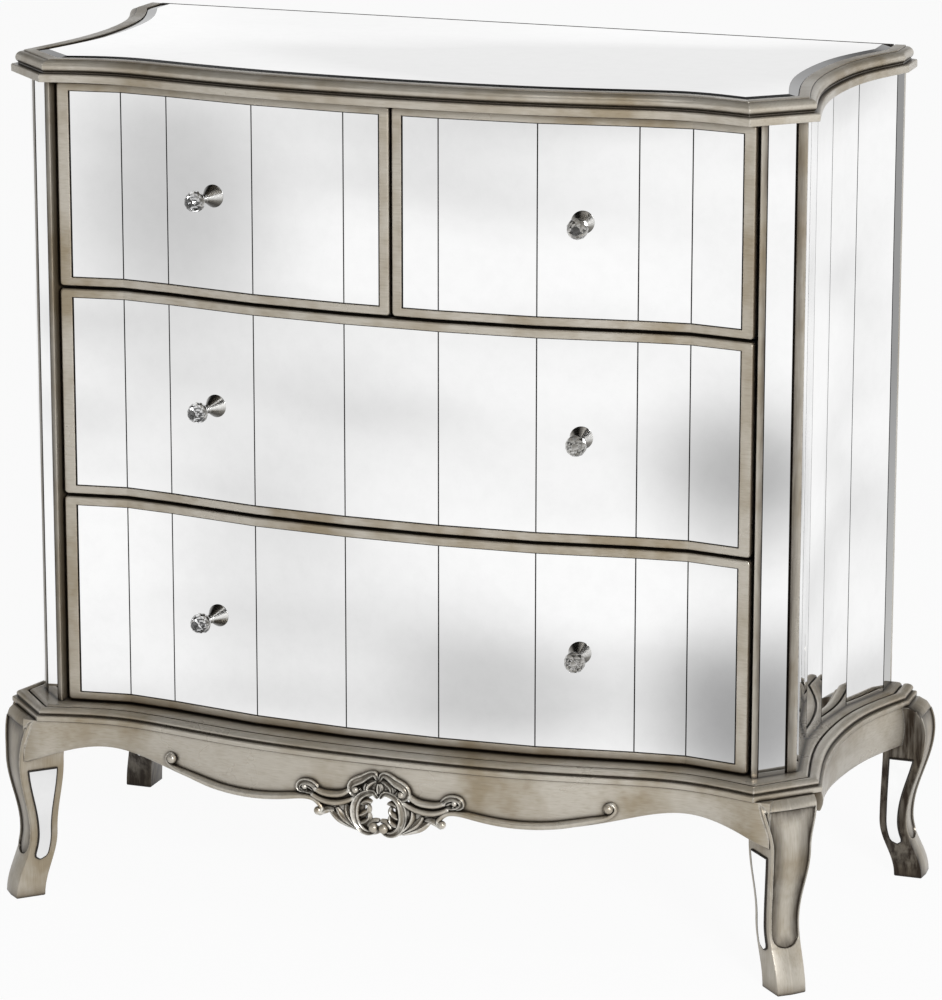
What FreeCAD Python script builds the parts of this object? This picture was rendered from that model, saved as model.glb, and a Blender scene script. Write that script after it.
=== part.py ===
import FreeCAD, Part
import math
import os
import Sketcher
from FreeCAD import Placement, Rotation, Vector

# Mirrored bombe chest: two short drawers over two long ones, serpentine front,
# concave sides, canted corner posts, moulded top and base, cabriole legs.
# Millimetres, +Z up.  X runs across the chest, the front faces -Y, the floor is
# Z = 0, and the origin is the middle of the footprint.
# "Out" sizes are measured from front_line, the plane where the mirrored field
# of a drawer front ends; a negative value stands in front of that plane.

DOC = FreeCAD.newDocument("BombeChest")
SHEET = DOC.addObject("Spreadsheet::Sheet", "Sizes")

SIZES = (
    # overall places
    ("front_line", -167.15),
    ("back_line", 215.0),
    ("floor_under", 213.0),
    ("floor_thick", 18.0),
    ("case_top", 931.0),
    # serpentine front: facet corners from the middle outwards
    ("facet_one_x", 53.5),
    ("facet_one_out", -22.7),
    ("facet_two_x", 161.0),
    ("facet_two_out", -15.6),
    ("facet_three_x", 267.0),
    ("facet_three_out", 2.0),
    ("facet_four_x", 323.0),
    ("facet_four_out", 8.3),
    ("field_half", 380.0),
    ("field_end_out", 0.0),
    # drawer fronts
    ("stile", 14.0),
    ("rail", 10.4),
    ("frame_proud", 1.5),
    ("mirror_thick", 4.0),
    ("mirror_joint", 1.4),
    ("front_back_out", 24.0),
    ("side_gap", 4.5),
    ("meeting_stile", 12.0),
    ("meeting_gap", 2.6),
    ("base_gap", 1.5),
    ("row_gap", 3.0),
    ("top_gap", 4.5),
    ("lower_front_tall", 235.0),
    ("middle_front_tall", 231.5),
    # drawer boxes
    ("box_wall", 12.0),
    ("box_bottom", 6.0),
    ("box_bottom_rise", 8.0),
    ("box_back_drop", 12.0),
    ("box_drop", 56.0),
    ("box_end_gap", 20.0),
    ("box_side_gap", 14.0),
    ("slide_gap", 0.3),
    # knobs
    ("knob_along", 0.45),
    ("knob_foot_radius", 12.5),
    ("knob_foot_long", 16.0),
    ("knob_neck_radius", 3.3),
    ("knob_neck_long", 26.5),
    ("crystal_radius", 11.5),
    ("crystal_long", 23.0),
    ("screw_radius", 2.0),
    ("screw_gap", 0.3),
    ("screw_head_radius", 4.2),
    ("screw_head_thick", 2.6),
    ("screw_reach", 12.0),
    # carcase
    ("post_out", -13.4),
    ("cant_x", 42.5),
    ("cant_y", 45.0),
    ("post_strip_front", 12.2),
    ("post_strip_side", 16.0),
    ("post_deep", 60.0),
    ("side_in_one", 21.0),
    ("side_back_one", 137.0),
    ("side_in_two", 22.5),
    ("side_back_two", 203.0),
    ("side_in_three", 13.5),
    ("side_back_three", 273.5),
    ("side_out_four", 11.0),
    ("side_back_four", 343.0),
    ("side_out_rear", 10.0),
    ("side_thick", 16.0),
    ("rear_joint", 2.0),
    ("rear_post_wide", 40.0),
    ("rear_stile", 7.0),
    ("back_thick", 6.0),
    ("rail_gap", 0.5),
    ("rail_thick", 18.0),
    ("rail_deep", 60.0),
    ("top_rail_tall", 15.0),
    ("runner_wide", 30.0),
    ("guide_wide", 12.0),
    ("guide_tall", 14.0),
    ("divider_thick", 18.0),
    # top rim
    ("top_front_over", 36.0),
    ("top_side_over", 12.5),
    ("top_b_side", -1.0),
    ("top_b_front", 26.6),
    ("top_a_side", 15.0),
    ("top_a_front", 15.6),
    ("top_border", 26.0),
    ("top_mitre", -0.43),
    ("top_cant", 0.397),
    ("top_tall", 24.0),
    ("top_glass", 4.5),
    ("top_glass_sink", 0.5),
    # base rim
    ("base_front_over", 38.0),
    ("base_side_over", 30.0),
    ("base_b_side", 15.5),
    ("base_b_front", 32.1),
    ("base_a_side", 31.5),
    ("base_a_front", 16.6),
    ("base_border", 24.0),
    ("base_cant", 0.397),
    ("base_tall", 14.0),
    # aprons
    ("apron_inset", 2.0),
    ("apron_thick", 20.0),
    ("apron_end_reach", 18.0),
    ("apron_end_low", 163.0),
    ("apron_arch_x", 338.0),
    ("apron_arch_low", 187.0),
    ("apron_slope_x", 252.0),
    ("apron_slope_low", 170.5),
    ("apron_dip_x", 168.0),
    ("apron_dip_low", 157.5),
    ("apron_rise_x", 104.0),
    ("apron_rise_low", 162.5),
    ("apron_notch_x", 30.0),
    ("apron_notch_low", 178.0),
    ("side_apron_front_low", 192.0),
    ("side_apron_middle_low", 171.5),
    ("side_apron_rear_low", 169.0),
    ("back_apron_low", 175.0),
    # pierced carving
    ("carving_half", 99.0),
    ("carving_low", 130.0),
    ("carving_shoulder", 170.0),
    ("carving_high", 206.0),
    ("carving_thick", 13.0),
    ("carving_hole_wide", 25.0),
    ("carving_hole_tall", 18.0),
    ("carving_hole_high", 166.0),
    # front legs, turned 45 degrees
    ("leg_root_side", 20.25),
    ("leg_root_front", 25.1),
    ("leg_knee_high", 160.0),
    ("leg_ankle_high", 75.0),
    ("leg_head_out", 6.0),
    ("leg_knee_out", 18.6),
    ("leg_ankle_out", 5.7),
    ("leg_foot_out", 24.5),
    ("leg_head_wide", 70.0),
    ("leg_knee_wide", 51.0),
    ("leg_ankle_wide", 39.5),
    ("leg_foot_wide", 37.0),
    ("leg_head_deep", 54.0),
    ("leg_knee_deep", 54.0),
    ("leg_ankle_deep", 34.0),
    ("leg_foot_deep", 37.0),
    # rear legs, facing the sides and kicked backwards, from the rear corner
    ("rear_knee_high", 180.0),
    ("rear_head_out", 35.0),
    ("rear_knee_out", 53.0),
    ("rear_ankle_out", 30.0),
    ("rear_foot_out", 45.0),
    ("rear_head_deep", 50.0),
    ("rear_knee_deep", 50.0),
    ("rear_ankle_deep", 33.0),
    ("rear_foot_deep", 35.0),
    ("rear_head_wide", 52.0),
    ("rear_knee_wide", 51.0),
    ("rear_ankle_wide", 38.0),
    ("rear_foot_wide", 38.0),
    ("rear_head_back", -25.0),
    ("rear_knee_back", -24.0),
    ("rear_ankle_back", -17.0),
    ("rear_foot_back", 4.85),
    # mirror insets of the legs
    ("inset_thick", 3.0),
    ("inset_sunk", 0.6),
    ("inset_margin", 11.0),
    ("inset_low", 64.0),
    ("inset_high", 168.0),
)


class Length:
    """A length with its value and the sheet expression that it comes from."""

    def __init__(self, text, value):
        self.text = text
        self.value = value

    def __add__(self, other):
        other = length(other)
        return Length("(%s + %s)" % (self.text, other.text), self.value + other.value)

    def __sub__(self, other):
        other = length(other)
        return Length("(%s - %s)" % (self.text, other.text), self.value - other.value)

    def __mul__(self, other):
        other = length(other)
        return Length("(%s * %s)" % (self.text, other.text), self.value * other.value)

    def __truediv__(self, other):
        other = length(other)
        return Length("(%s / %s)" % (self.text, other.text), self.value / other.value)

    def __neg__(self):
        return Length("(0 - %s)" % self.text, -self.value)


def length(amount):
    """A plain number as a Length; a Length stays as it is."""
    if isinstance(amount, Length):
        return amount
    return Length("(%r)" % float(amount), float(amount))


ON_AXIS = length(0)


def root(amount):
    return Length("sqrt(%s)" % amount.text, math.sqrt(amount.value))


def fill_sheet():
    """Write every size into the sheet as text, with its name as the alias."""
    for row, (name, number) in enumerate(SIZES, start=1):
        SHEET.set("A%d" % row, name)
        SHEET.set("B%d" % row, repr(number))
        SHEET.setAlias("B%d" % row, name)
    DOC.recompute()


def size(name):
    """The named size as a Length."""
    return Length("Sizes.%s" % name, float(getattr(SHEET, name)))


def out(name):
    """The Y place of a size that is measured back from front_line."""
    return size("front_line") + size(name)


def between(start, end, share):
    """The point at a share of the way from start to end."""
    return (start[0] + (end[0] - start[0]) * share, start[1] + (end[1] - start[1]) * share)


# ---------------------------------------------------------------- builders

def origin_plane(body, role):
    """The plane of the body's own origin that has this role."""
    for feature in body.Origin.OriginFeatures:
        if feature.Role == role:
            return feature
    raise RuntimeError("no plane " + role)


def outline_sketch(body, name, corners, height):
    """A closed outline of straight lines whose corners follow the sheet."""
    sketch = body.newObject("Sketcher::SketchObject", name)
    sketch.AttachmentSupport = (origin_plane(body, "XY_Plane"), "")
    sketch.MapMode = "FlatFace"
    sketch.AttachmentOffset = Placement(Vector(0, 0, height.value), Rotation())
    sketch.setExpression("AttachmentOffset.Base.z", height.text)
    places = [Vector(x.value, y.value, 0) for x, y in corners]
    count = len(places)
    lines = [Part.LineSegment(places[i], places[(i + 1) % count]) for i in range(count)]
    sketch.addGeometry(lines, False)
    joins = [Sketcher.Constraint("Coincident", i, 2, (i + 1) % count, 1) for i in range(count)]
    sketch.addConstraint(joins)
    for index, (x, y) in enumerate(corners):
        for kind, axis, place in (("DistanceX", -2, x), ("DistanceY", -1, y)):
            if place.text == ON_AXIS.text:
                sketch.addConstraint(Sketcher.Constraint("PointOnObject", index, 1, axis))
                continue
            rule = Sketcher.Constraint(kind, -1, 1, index, 1, place.value)
            number = sketch.addConstraint(rule)
            sketch.setExpression("Constraints[%d]" % number, place.text)
    return sketch


def new_body(label):
    body = DOC.addObject("PartDesign::Body", label)
    body.Label = label
    return body


def add_pad(body, corners, low, tall):
    """Pad a plan outline upwards from a height, joined to what the body has."""
    name = "%s_pad_%d" % (body.Name, len(body.Group))
    sketch = outline_sketch(body, name + "_plan", corners, low)
    pad = body.newObject("PartDesign::Pad", name)
    pad.Profile = sketch
    pad.Length = tall.value
    pad.setExpression("Length", tall.text)
    return pad


def plan_body(label, corners, low, tall):
    """A body padded from one plan outline."""
    body = new_body(label)
    add_pad(body, corners, low, tall)
    return body


def plan_bodies(label, outlines, low, tall):
    """One body for each of several plan outlines, named label_1, label_2 and so on."""
    names = ["%s_%d" % (label, number) for number in range(1, len(outlines) + 1)]
    return [plan_body(name, corners, low, tall) for name, corners in zip(names, outlines)]


def board(label, low, span):
    """A box-shaped board from its low corner and its three sizes."""
    box = DOC.addObject("Part::Box", label)
    box.Label = label
    for axis, place in zip("xyz", low):
        box.setExpression("Placement.Base." + axis, place.text)
    for side, amount in zip(("Length", "Width", "Height"), span):
        box.setExpression(side, amount.text)
    return box


def group(label, members):
    """Several separate solids kept as one sub-part."""
    compound = DOC.addObject("Part::Compound", label)
    compound.Label = label
    compound.Links = members
    return compound


def mirrored(label, source):
    """The same piece on the other side of the chest."""
    twin = DOC.addObject("Part::Mirroring", label)
    twin.Label = label
    twin.Source = source
    twin.Normal = Vector(1, 0, 0)
    twin.Base = Vector(0, 0, 0)
    return twin


def cut_by(label, base, tool):
    cut = DOC.addObject("Part::Cut", label)
    cut.Label = label
    cut.Base = base
    cut.Tool = tool
    return cut


def fixed_shape(label, shape):
    """A sub-part whose shape comes from Part's own functions."""
    feature = DOC.addObject("Part::Feature", label)
    feature.Label = label
    feature.Shape = shape
    feature.Placement = Placement()
    return feature


# ------------------------------------------------------------- plan places

def front_corners():
    """Corners of the serpentine front, right half, from the middle outwards."""
    names = ("one", "two", "three", "four")
    corners = [(size("facet_%s_x" % n), out("facet_%s_out" % n)) for n in names]
    corners.append((size("field_half"), out("field_end_out")))
    return corners


def drawer_end():
    """Outer end of a drawer front: the last facet carried on by the stile."""
    inner, field = front_corners()[-2:]
    share = size("stile") / (field[0] - inner[0])
    return (field[0] + size("stile"), field[1] + (field[1] - inner[1]) * share)


def post_front():
    """Front arris of a canted corner post."""
    return (drawer_end()[0] + size("side_gap"), out("post_out"))


def post_side():
    """Side arris of a canted corner post."""
    front = post_front()
    return (front[0] + size("cant_x"), front[1] + size("cant_y"))


def side_corners():
    """Corners of the faceted side from the post to the rear post."""
    arris = post_side()
    first = (arris[0] - size("side_in_one"), out("side_back_one"))
    second = (arris[0] - size("side_in_two"), out("side_back_two"))
    third = (arris[0] - size("side_in_three"), out("side_back_three"))
    fourth = (arris[0] + size("side_out_four"), out("side_back_four"))
    return [arris, first, second, third, fourth]


def post_back():
    """Where the back of the post meets the line of the first side facet."""
    arris, first = side_corners()[:2]
    share = (out("post_deep") - arris[1]) / (first[1] - arris[1])
    return between(arris, first, share)


def rear_corner():
    """Rear corner of the case, where the flare of the side ends."""
    return (post_side()[0] + size("side_out_rear"), size("back_line"))


def rear_post_inner():
    return side_corners()[-1][0] - size("rear_post_wide")


def along_rear_post(y):
    """The point of the rear post's outer face at a Y place."""
    front = side_corners()[-1]
    back = rear_corner()
    return between(front, back, (y - front[1]) / (back[1] - front[1]))


def moved(corners, dx=0.0, dy=0.0):
    """The corners moved by dx and dy."""
    return [(x + dx, y + dy) for x, y in corners]


def band(line, thick):
    """A closed outline between a front line and the same line further back."""
    return list(line) + list(reversed(moved(line, dy=thick)))


def post_low():
    """Top of the base rim, on which the posts and sides stand."""
    return size("floor_under") + size("base_tall")


def row_below(name):
    return {"middle": "lower", "upper": "middle"}[name]


def row_low(name):
    """Lower edge of the fronts in a row."""
    if name == "lower":
        return post_low() + size("base_gap")
    below = row_below(name)
    return row_low(below) + row_tall(below) + size("row_gap")


def row_tall(name):
    """Height of the fronts in a row; the upper row fills what is left."""
    if name == "upper":
        return size("case_top") - size("top_gap") - row_low(name)
    return size(name + "_front_tall")


def rail_low(name):
    """Underside of the rail behind the gap below a row of fronts."""
    return row_low(name) - size("row_gap") / 2 - size("rail_thick") / 2


def shelf(name):
    """The surface on which the boxes of a row slide."""
    if name == "lower":
        return size("floor_under") + size("floor_thick")
    return rail_low(name) + size("rail_thick")


def box_half():
    """Outer side of the drawer boxes."""
    return drawer_end()[0] - size("box_side_gap")


def box_back_line():
    return size("back_line") - size("back_thick") - size("box_end_gap")


# ------------------------------------------------------------------- knobs

class Knob:
    """Where a knob stands on the third facet, and how its axis is turned."""

    def __init__(self, row_name, side):
        inner, outer = front_corners()[1:3]
        middle = between(inner, outer, size("knob_along"))
        run = outer[0] - inner[0]
        rise = outer[1] - inner[1]
        high = row_low(row_name) + row_tall(row_name) / 2
        slope = rise / run
        self.spot = (middle[0] * side, middle[1], high)
        angle = math.degrees(math.atan(slope.value))
        self.turn = Length("atan(%s)" % slope.text, angle) * side
        slant = root(slope * slope + 1)
        self.back = (out("front_back_out") - middle[1]) * slant + size("screw_head_radius") * slope

    def place(self, piece):
        """Put a turned piece here, its own -Y pointing out of the facet."""
        piece.Placement = Placement(Vector(0, 0, 0), Rotation(Vector(0, 0, 1), self.turn.value))
        for axis, place in zip("xyz", self.spot):
            piece.setExpression("Placement.Base." + axis, place.text)
        piece.setExpression("Placement.Rotation.Angle", self.turn.text)

    def turned(self, label, profile):
        """A piece turned about its own Y from a profile of radius and Y."""
        body = new_body(label)
        sketch = outline_sketch(body, label + "_profile", profile, length(0))
        turning = body.newObject("PartDesign::Revolution", label + "_turning")
        turning.Profile = sketch
        turning.ReferenceAxis = (sketch, ["V_Axis"])
        turning.Angle = 360.0
        self.place(body)
        return body

    def foot(self, label):
        """Bell with a collar and a thin neck, bored for the screw."""
        wide = size("knob_foot_radius")
        neck = size("knob_neck_radius")
        bell = -size("knob_foot_long")
        tip = -size("knob_neck_long")
        bore = size("screw_radius") + size("screw_gap") / 2
        profile = (
            (bore, ON_AXIS),
            (wide, ON_AXIS),
            (wide, bell * 0.08),
            (wide * 0.9, bell * 0.36),
            (wide * 0.66, bell * 0.68),
            (neck * 1.15, bell),
            (neck * 1.5, bell * 1.03),
            (neck * 1.5, bell * 1.14),
            (neck, bell * 1.2),
            (neck, tip),
            (ON_AXIS, tip),
            (ON_AXIS, -size("screw_reach")),
            (bore, -size("screw_reach")),
        )
        return self.turned(label, profile)

    def crystal(self, label):
        """Faceted glass ball on the end of the neck."""
        radius = size("crystal_radius")
        start = -size("knob_neck_long")
        long = -size("crystal_long")
        steps = ((0.45, 0.0), (0.86, 0.2), (1.0, 0.48), (0.86, 0.78), (0.42, 1.0))
        profile = [(ON_AXIS, start)]
        profile += [(radius * share, start + long * along) for share, along in steps]
        profile.append((ON_AXIS, start + long))
        return self.turned(label, profile)

    def screw(self, label):
        """Screw from inside the drawer, through the front, into the foot."""
        shank = size("screw_radius")
        head = size("screw_head_radius")
        head_end = self.back + size("screw_head_thick")
        profile = (
            (ON_AXIS, -size("screw_reach")),
            (shank, -size("screw_reach")),
            (shank, self.back),
            (head, self.back),
            (head, head_end),
            (ON_AXIS, head_end),
        )
        return self.turned(label, profile)

    def drill(self, label):
        """The screw's clearance hole, running past both faces of the front."""
        wide = size("screw_radius") + size("screw_gap")
        past = size("screw_head_radius") + size("mirror_thick")
        profile = (
            (ON_AXIS, -past),
            (wide, -past),
            (wide, self.back + past),
            (ON_AXIS, self.back + past),
        )
        return self.turned(label, profile)


# ----------------------------------------------------------------- drawers

class Drawer:
    """One drawer: its row, its name, the sides it spans and its knobs."""

    def __init__(self, label, row_name, halves):
        self.label = label
        self.halves = halves
        self.low = row_low(row_name)
        self.tall = row_tall(row_name)
        self.box_tall = self.tall - size("box_drop")
        self.box_low = shelf(row_name) + size("slide_gap")
        self.knobs = [Knob(row_name, side) for side in halves]

    def line(self, start, end):
        """The line of the front between two of its ends, left to right."""
        corners = [start] + front_corners()[:-1] + [end]
        if len(self.halves) == 1:
            return corners
        return [(-x, y) for x, y in reversed(corners[1:])] + corners[1:]

    def inner_end(self):
        """Where the fronts of the upper drawers meet; unused on a long drawer."""
        return (size("meeting_gap") / 2, out("facet_one_out"))

    def inner_field(self):
        return (self.inner_end()[0] + size("meeting_stile"), out("facet_one_out"))

    def make_front(self):
        """Board with a raised frame of rails and stiles round the mirror field."""
        whole = self.line(self.inner_end(), drawer_end())
        field_end = front_corners()[-1]
        seat = size("mirror_thick")
        proud = -size("frame_proud")
        raised = seat + size("frame_proud")
        back = out("front_back_out")
        body = new_body(self.label + "_board")
        bed = moved(whole, dy=seat) + [(whole[-1][0], back), (whole[0][0], back)]
        add_pad(body, bed, self.low, self.tall)
        rail = band(moved(whole, dy=proud), raised)
        add_pad(body, rail, self.low, size("rail"))
        add_pad(body, rail, self.low + self.tall - size("rail"), size("rail"))
        outer = [field_end, drawer_end()]
        stiles = [outer]
        if len(self.halves) == 2:
            stiles.append([(-x, y) for x, y in reversed(outer)])
        else:
            stiles.append([self.inner_end(), self.inner_field()])
        for stile in stiles:
            add_pad(body, band(moved(stile, dy=proud), raised), self.low, self.tall)
        return body

    def make_mirrors(self):
        """A flat mirror on every facet, with a thin joint at each corner."""
        start = self.inner_field()
        corners = self.line(start, front_corners()[-1])
        joint = size("mirror_joint") / 2
        outlines = []
        for one, other in zip(corners, corners[1:]):
            slope = (other[1] - one[1]) / (other[0] - one[0])
            left = (one[0] + joint, one[1] + slope * joint)
            right = (other[0] - joint, other[1] - slope * joint)
            outlines.append(band([left, right], size("mirror_thick")))
        low = self.low + size("rail")
        tall = self.tall - size("rail") * 2
        return group(self.label + "_slabs", plan_bodies(self.label + "_slab", outlines, low, tall))

    def box_ends(self):
        """Outer sides of the box, left and right."""
        if len(self.halves) == 2:
            return (-box_half(), box_half())
        return (size("divider_thick") / 2 + size("slide_gap"), box_half())

    def make_box(self):
        """Sides, back and bottom of the box behind the front."""
        left, right = self.box_ends()
        wall = size("box_wall")
        front = out("front_back_out")
        back = box_back_line()
        sides = []
        for name, x in (("_side_a", left), ("_side_b", right - wall)):
            span = (wall, back - front, self.box_tall)
            sides.append(board(self.label + name, (x, front, self.box_low), span))
        inside = right - left - wall * 2
        bottom_low = self.box_low + size("box_bottom_rise")
        back_low = bottom_low + size("box_bottom")
        back_tall = self.box_tall - size("box_bottom_rise") - size("box_bottom")
        back_span = (inside, wall, back_tall - size("box_back_drop"))
        bottom_span = (inside, back - front, size("box_bottom"))
        return {
            "sides": group(self.label + "_both_sides", sides),
            "back": board(self.label + "_rear", (left + wall, back - wall, back_low), back_span),
            "bottom": board(self.label + "_floor", (left + wall, front, bottom_low), bottom_span),
        }

    def make(self):
        """Every sub-part of the drawer, by the last word of its node name."""
        numbered = list(enumerate(self.knobs, start=1))
        drills = [knob.drill("%s_drill_%d" % (self.label, n)) for n, knob in numbered]
        drilling = group(self.label + "_drills", drills)
        feet = [knob.foot("%s_foot_%d" % (self.label, n)) for n, knob in numbered]
        crystals = [knob.crystal("%s_ball_%d" % (self.label, n)) for n, knob in numbered]
        screws = [knob.screw("%s_screw_%d" % (self.label, n)) for n, knob in numbered]
        pieces = {
            "front": cut_by(self.label + "_drilled", self.make_front(), drilling),
            "mirrors": cut_by(self.label + "_glass", self.make_mirrors(), drilling),
            "knobs": group(self.label + "_feet", feet),
            "crystals": group(self.label + "_balls", crystals),
            "screws": group(self.label + "_screw_set", screws),
        }
        pieces.update(self.make_box())
        return pieces


# ----------------------------------------------------------------- carcase

def along_cant(distance, inward=0.0):
    """A point on the canted face, measured from its front arris and inwards."""
    start = post_front()
    wide = size("cant_x")
    deep = size("cant_y")
    whole = root(wide * wide + deep * deep)
    along = length(distance) / whole
    into = length(inward) / whole
    return (start[0] + wide * along - deep * into, start[1] + deep * along + wide * into)


def cant_length():
    return root(size("cant_x") * size("cant_x") + size("cant_y") * size("cant_y"))


def post_tall():
    return size("case_top") - post_low()


def make_front_post():
    """Canted block with a rebate for its mirror and one for the side mirror."""
    glass = size("mirror_thick")
    start = size("post_strip_front")
    end = cant_length() - size("post_strip_side")
    rear = post_back()
    corners = [
        post_front(),
        along_cant(start),
        along_cant(start, glass),
        along_cant(end, glass),
        along_cant(end),
        post_side(),
        (post_side()[0] - glass, post_side()[1]),
        (rear[0] - glass, rear[1]),
        (post_front()[0], rear[1]),
    ]
    return plan_body("post_block", corners, post_low(), post_tall())


def make_post_mirror():
    glass = size("mirror_thick")
    joint = size("mirror_joint") / 2
    start = size("post_strip_front") + joint
    end = cant_length() - size("post_strip_side") - joint
    corners = [along_cant(start), along_cant(end), along_cant(end, glass), along_cant(start, glass)]
    return plan_body("post_glass", corners, post_low(), post_tall())


def make_side_panel():
    """Faceted panel of one thickness behind the side mirrors."""
    glass = size("mirror_thick")
    line = [post_back()] + side_corners()[1:]
    outer = moved(line, dx=-glass)
    inner = moved(line, dx=-glass - size("side_thick"))
    return plan_body("side_wall", outer + list(reversed(inner)), post_low(), post_tall())


def make_side_mirrors():
    """A mirror on each side facet and the strip on the rear post."""
    glass = size("mirror_thick")
    corners = side_corners()
    joint = size("mirror_joint") / 2
    outlines = []
    for number, (one, other) in enumerate(zip(corners, corners[1:])):
        last = number == len(corners) - 2
        end_joint = size("rear_joint") / 2 if last else joint
        slope = (other[0] - one[0]) / (other[1] - one[1])
        start = (one[0] + slope * joint, one[1] + joint)
        end = (other[0] - slope * end_joint, other[1] - end_joint)
        outlines.append([start, end, (end[0] - glass, end[1]), (start[0] - glass, start[1])])
    front = along_rear_post(out("side_back_four") + size("rear_joint") / 2)
    back = along_rear_post(size("back_line") - size("rear_stile"))
    outlines.append([front, back] + moved([back, front], dx=-glass))
    return group("side_glass", plan_bodies("side_slab", outlines, post_low(), post_tall()))


def make_rear_post():
    """Rear post with a rebate for its mirror strip in front of a stile."""
    glass = size("mirror_thick")
    front = side_corners()[-1]
    lip = along_rear_post(size("back_line") - size("rear_stile"))
    back = rear_corner()
    inner = rear_post_inner()
    corners = moved([front, lip], dx=-glass) + [lip, back, (inner, back[1]), (inner, front[1])]
    return plan_body("rear_block", corners, post_low(), post_tall())


def make_back_panel():
    inner = rear_post_inner()
    low = (-inner, size("back_line") - size("back_thick"), shelf("lower"))
    span = (inner * 2, size("back_thick"), size("case_top") - shelf("lower"))
    return board("back_board", low, span)


def rail_front():
    return out("front_back_out") + size("rail_gap")


def make_rails():
    """Two rails between the rows of drawers and one under the top."""
    half = post_front()[0]
    lows = [
        (rail_low("middle"), size("rail_thick")),
        (rail_low("upper"), size("rail_thick")),
        (size("case_top") - size("top_rail_tall"), size("top_rail_tall")),
    ]
    rails = []
    for number, (low, tall) in enumerate(lows, start=1):
        span = (half * 2, size("rail_deep"), tall)
        rails.append(board("rail_%d" % number, (-half, rail_front(), low), span))
    return group("rails", rails)


def make_runners():
    """Runners and side guides of every row, from the rails to the back."""
    start = rail_front() + size("rail_deep")
    deep = size("back_line") - size("back_thick") - start
    outer = box_half() + size("slide_gap") + size("guide_wide")
    pieces = []
    for row_name in ("lower", "middle", "upper"):
        top = shelf(row_name)
        guide_x = box_half() + size("slide_gap")
        guide = board(row_name + "_guide", (guide_x, start, top),
                      (size("guide_wide"), deep, size("guide_tall")))
        pieces += [guide, mirrored(row_name + "_guide_left", guide)]
        if row_name == "lower":
            continue
        wide = size("runner_wide") + size("guide_wide")
        runner = board(row_name + "_runner", (outer - wide, start, top - size("rail_thick")),
                       (wide, deep, size("rail_thick")))
        pieces += [runner, mirrored(row_name + "_runner_left", runner)]
    wide = size("runner_wide") * 2
    middle = board("middle_runner", (-wide / 2, start, shelf("upper") - size("rail_thick")),
                   (wide, deep, size("rail_thick")))
    return group("runners", pieces + [middle])


def make_divider():
    """Board between the two upper drawers, standing on their rail."""
    thick = size("divider_thick")
    low = shelf("upper")
    span = (thick, size("back_line") - size("back_thick") - rail_front(),
            size("case_top") - size("top_rail_tall") - low)
    return board("divider", (-thick / 2, rail_front(), low), span)


def make_floor():
    half = post_front()[0]
    span = (half * 2, size("back_line") - rail_front(), size("floor_thick"))
    return board("floor_board", (-half, rail_front(), size("floor_under")), span)


# ------------------------------------------- curved rims, aprons and legs

def mm(name):
    """The value of a named size."""
    return size(name).value


def number(point):
    """A plan point as plain numbers."""
    return (point[0].value, point[1].value)


class Rim:
    """Outer line of a moulding round the front and sides, at any inset."""

    def __init__(self, kind):
        self.kind = kind
        self.front = [number(p) for p in front_corners()[:-1]]
        self.sides = [number(p) for p in side_corners()[1:]]
        self.rear = number(rear_corner())
        self.over = mm(kind + "_front_over")
        self.side_over = mm(kind + "_side_over")
        post = number(post_front())
        arris = number(post_side())
        self.b = (post[0] + mm(kind + "_b_side"), post[1] - mm(kind + "_b_front"))
        self.a = (arris[0] + mm(kind + "_a_side"), arris[1] - mm(kind + "_a_front"))
        self.border = mm(kind + "_border")
        self.cant = mm(kind + "_cant")
        self.mitre = mm("top_mitre") if kind == "top" else self.base_mitre()

    def base_mitre(self):
        """Sideways step of the mitre per step back, towards the floor's corner."""
        corner = number((post_front()[0], rail_front()))
        return (corner[0] - self.b[0]) / (corner[1] - self.b[1])

    def corner(self, inset):
        return (self.b[0] + inset * self.mitre, self.b[1] + inset)

    def front_points(self, inset):
        """From the left corner to the right corner."""
        half = [(x, y - self.over + inset) for x, y in self.front] + [self.corner(inset)]
        return [(-x, y) for x, y in reversed(half)] + half

    def side_points(self, inset):
        """From the canted corner to the rear post."""
        start = (self.a[0] - inset, self.a[1] + inset * self.cant)
        return [start] + [(x + self.side_over - inset, y) for x, y in self.sides]

    def rear_point(self, inset):
        """Where the straight run along the rear post ends at the back."""
        return (self.rear[0] + self.side_over - inset, self.rear[1])


def curve(points, height):
    """A smooth edge through the points at one height."""
    spline = Part.BSplineCurve()
    spline.interpolate([Vector(x, y, height) for x, y in points])
    return spline.toShape()


def straight(start, end, height):
    return Part.makeLine(Vector(start[0], start[1], height), Vector(end[0], end[1], height))


def inner_corner(rim):
    """Where the inner edges of a rim's front and side meet."""
    if rim.kind == "top":
        return rim.corner(rim.border)
    return number((post_front()[0], rail_front()))


def front_wire(rim, inset, height):
    """Closed line of a rim's front piece at one height of its profile."""
    outer = rim.front_points(inset)
    right = inner_corner(rim)
    left = (-right[0], right[1])
    if rim.kind == "top":
        inner = curve(rim.front_points(rim.border), height)
    else:
        inner = straight(left, right, height)
    ends = [straight(outer[-1], right, height), straight(left, outer[0], height)]
    return Part.Wire([curve(outer, height), ends[0], inner, ends[1]])


def side_edges(rim, inset, height):
    """Outer edges of the right side, from the mitre to the back."""
    side = rim.side_points(inset)
    return [
        straight(rim.corner(inset), side[0], height),
        curve(side, height),
        straight(side[-1], rim.rear_point(inset), height),
    ]


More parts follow.
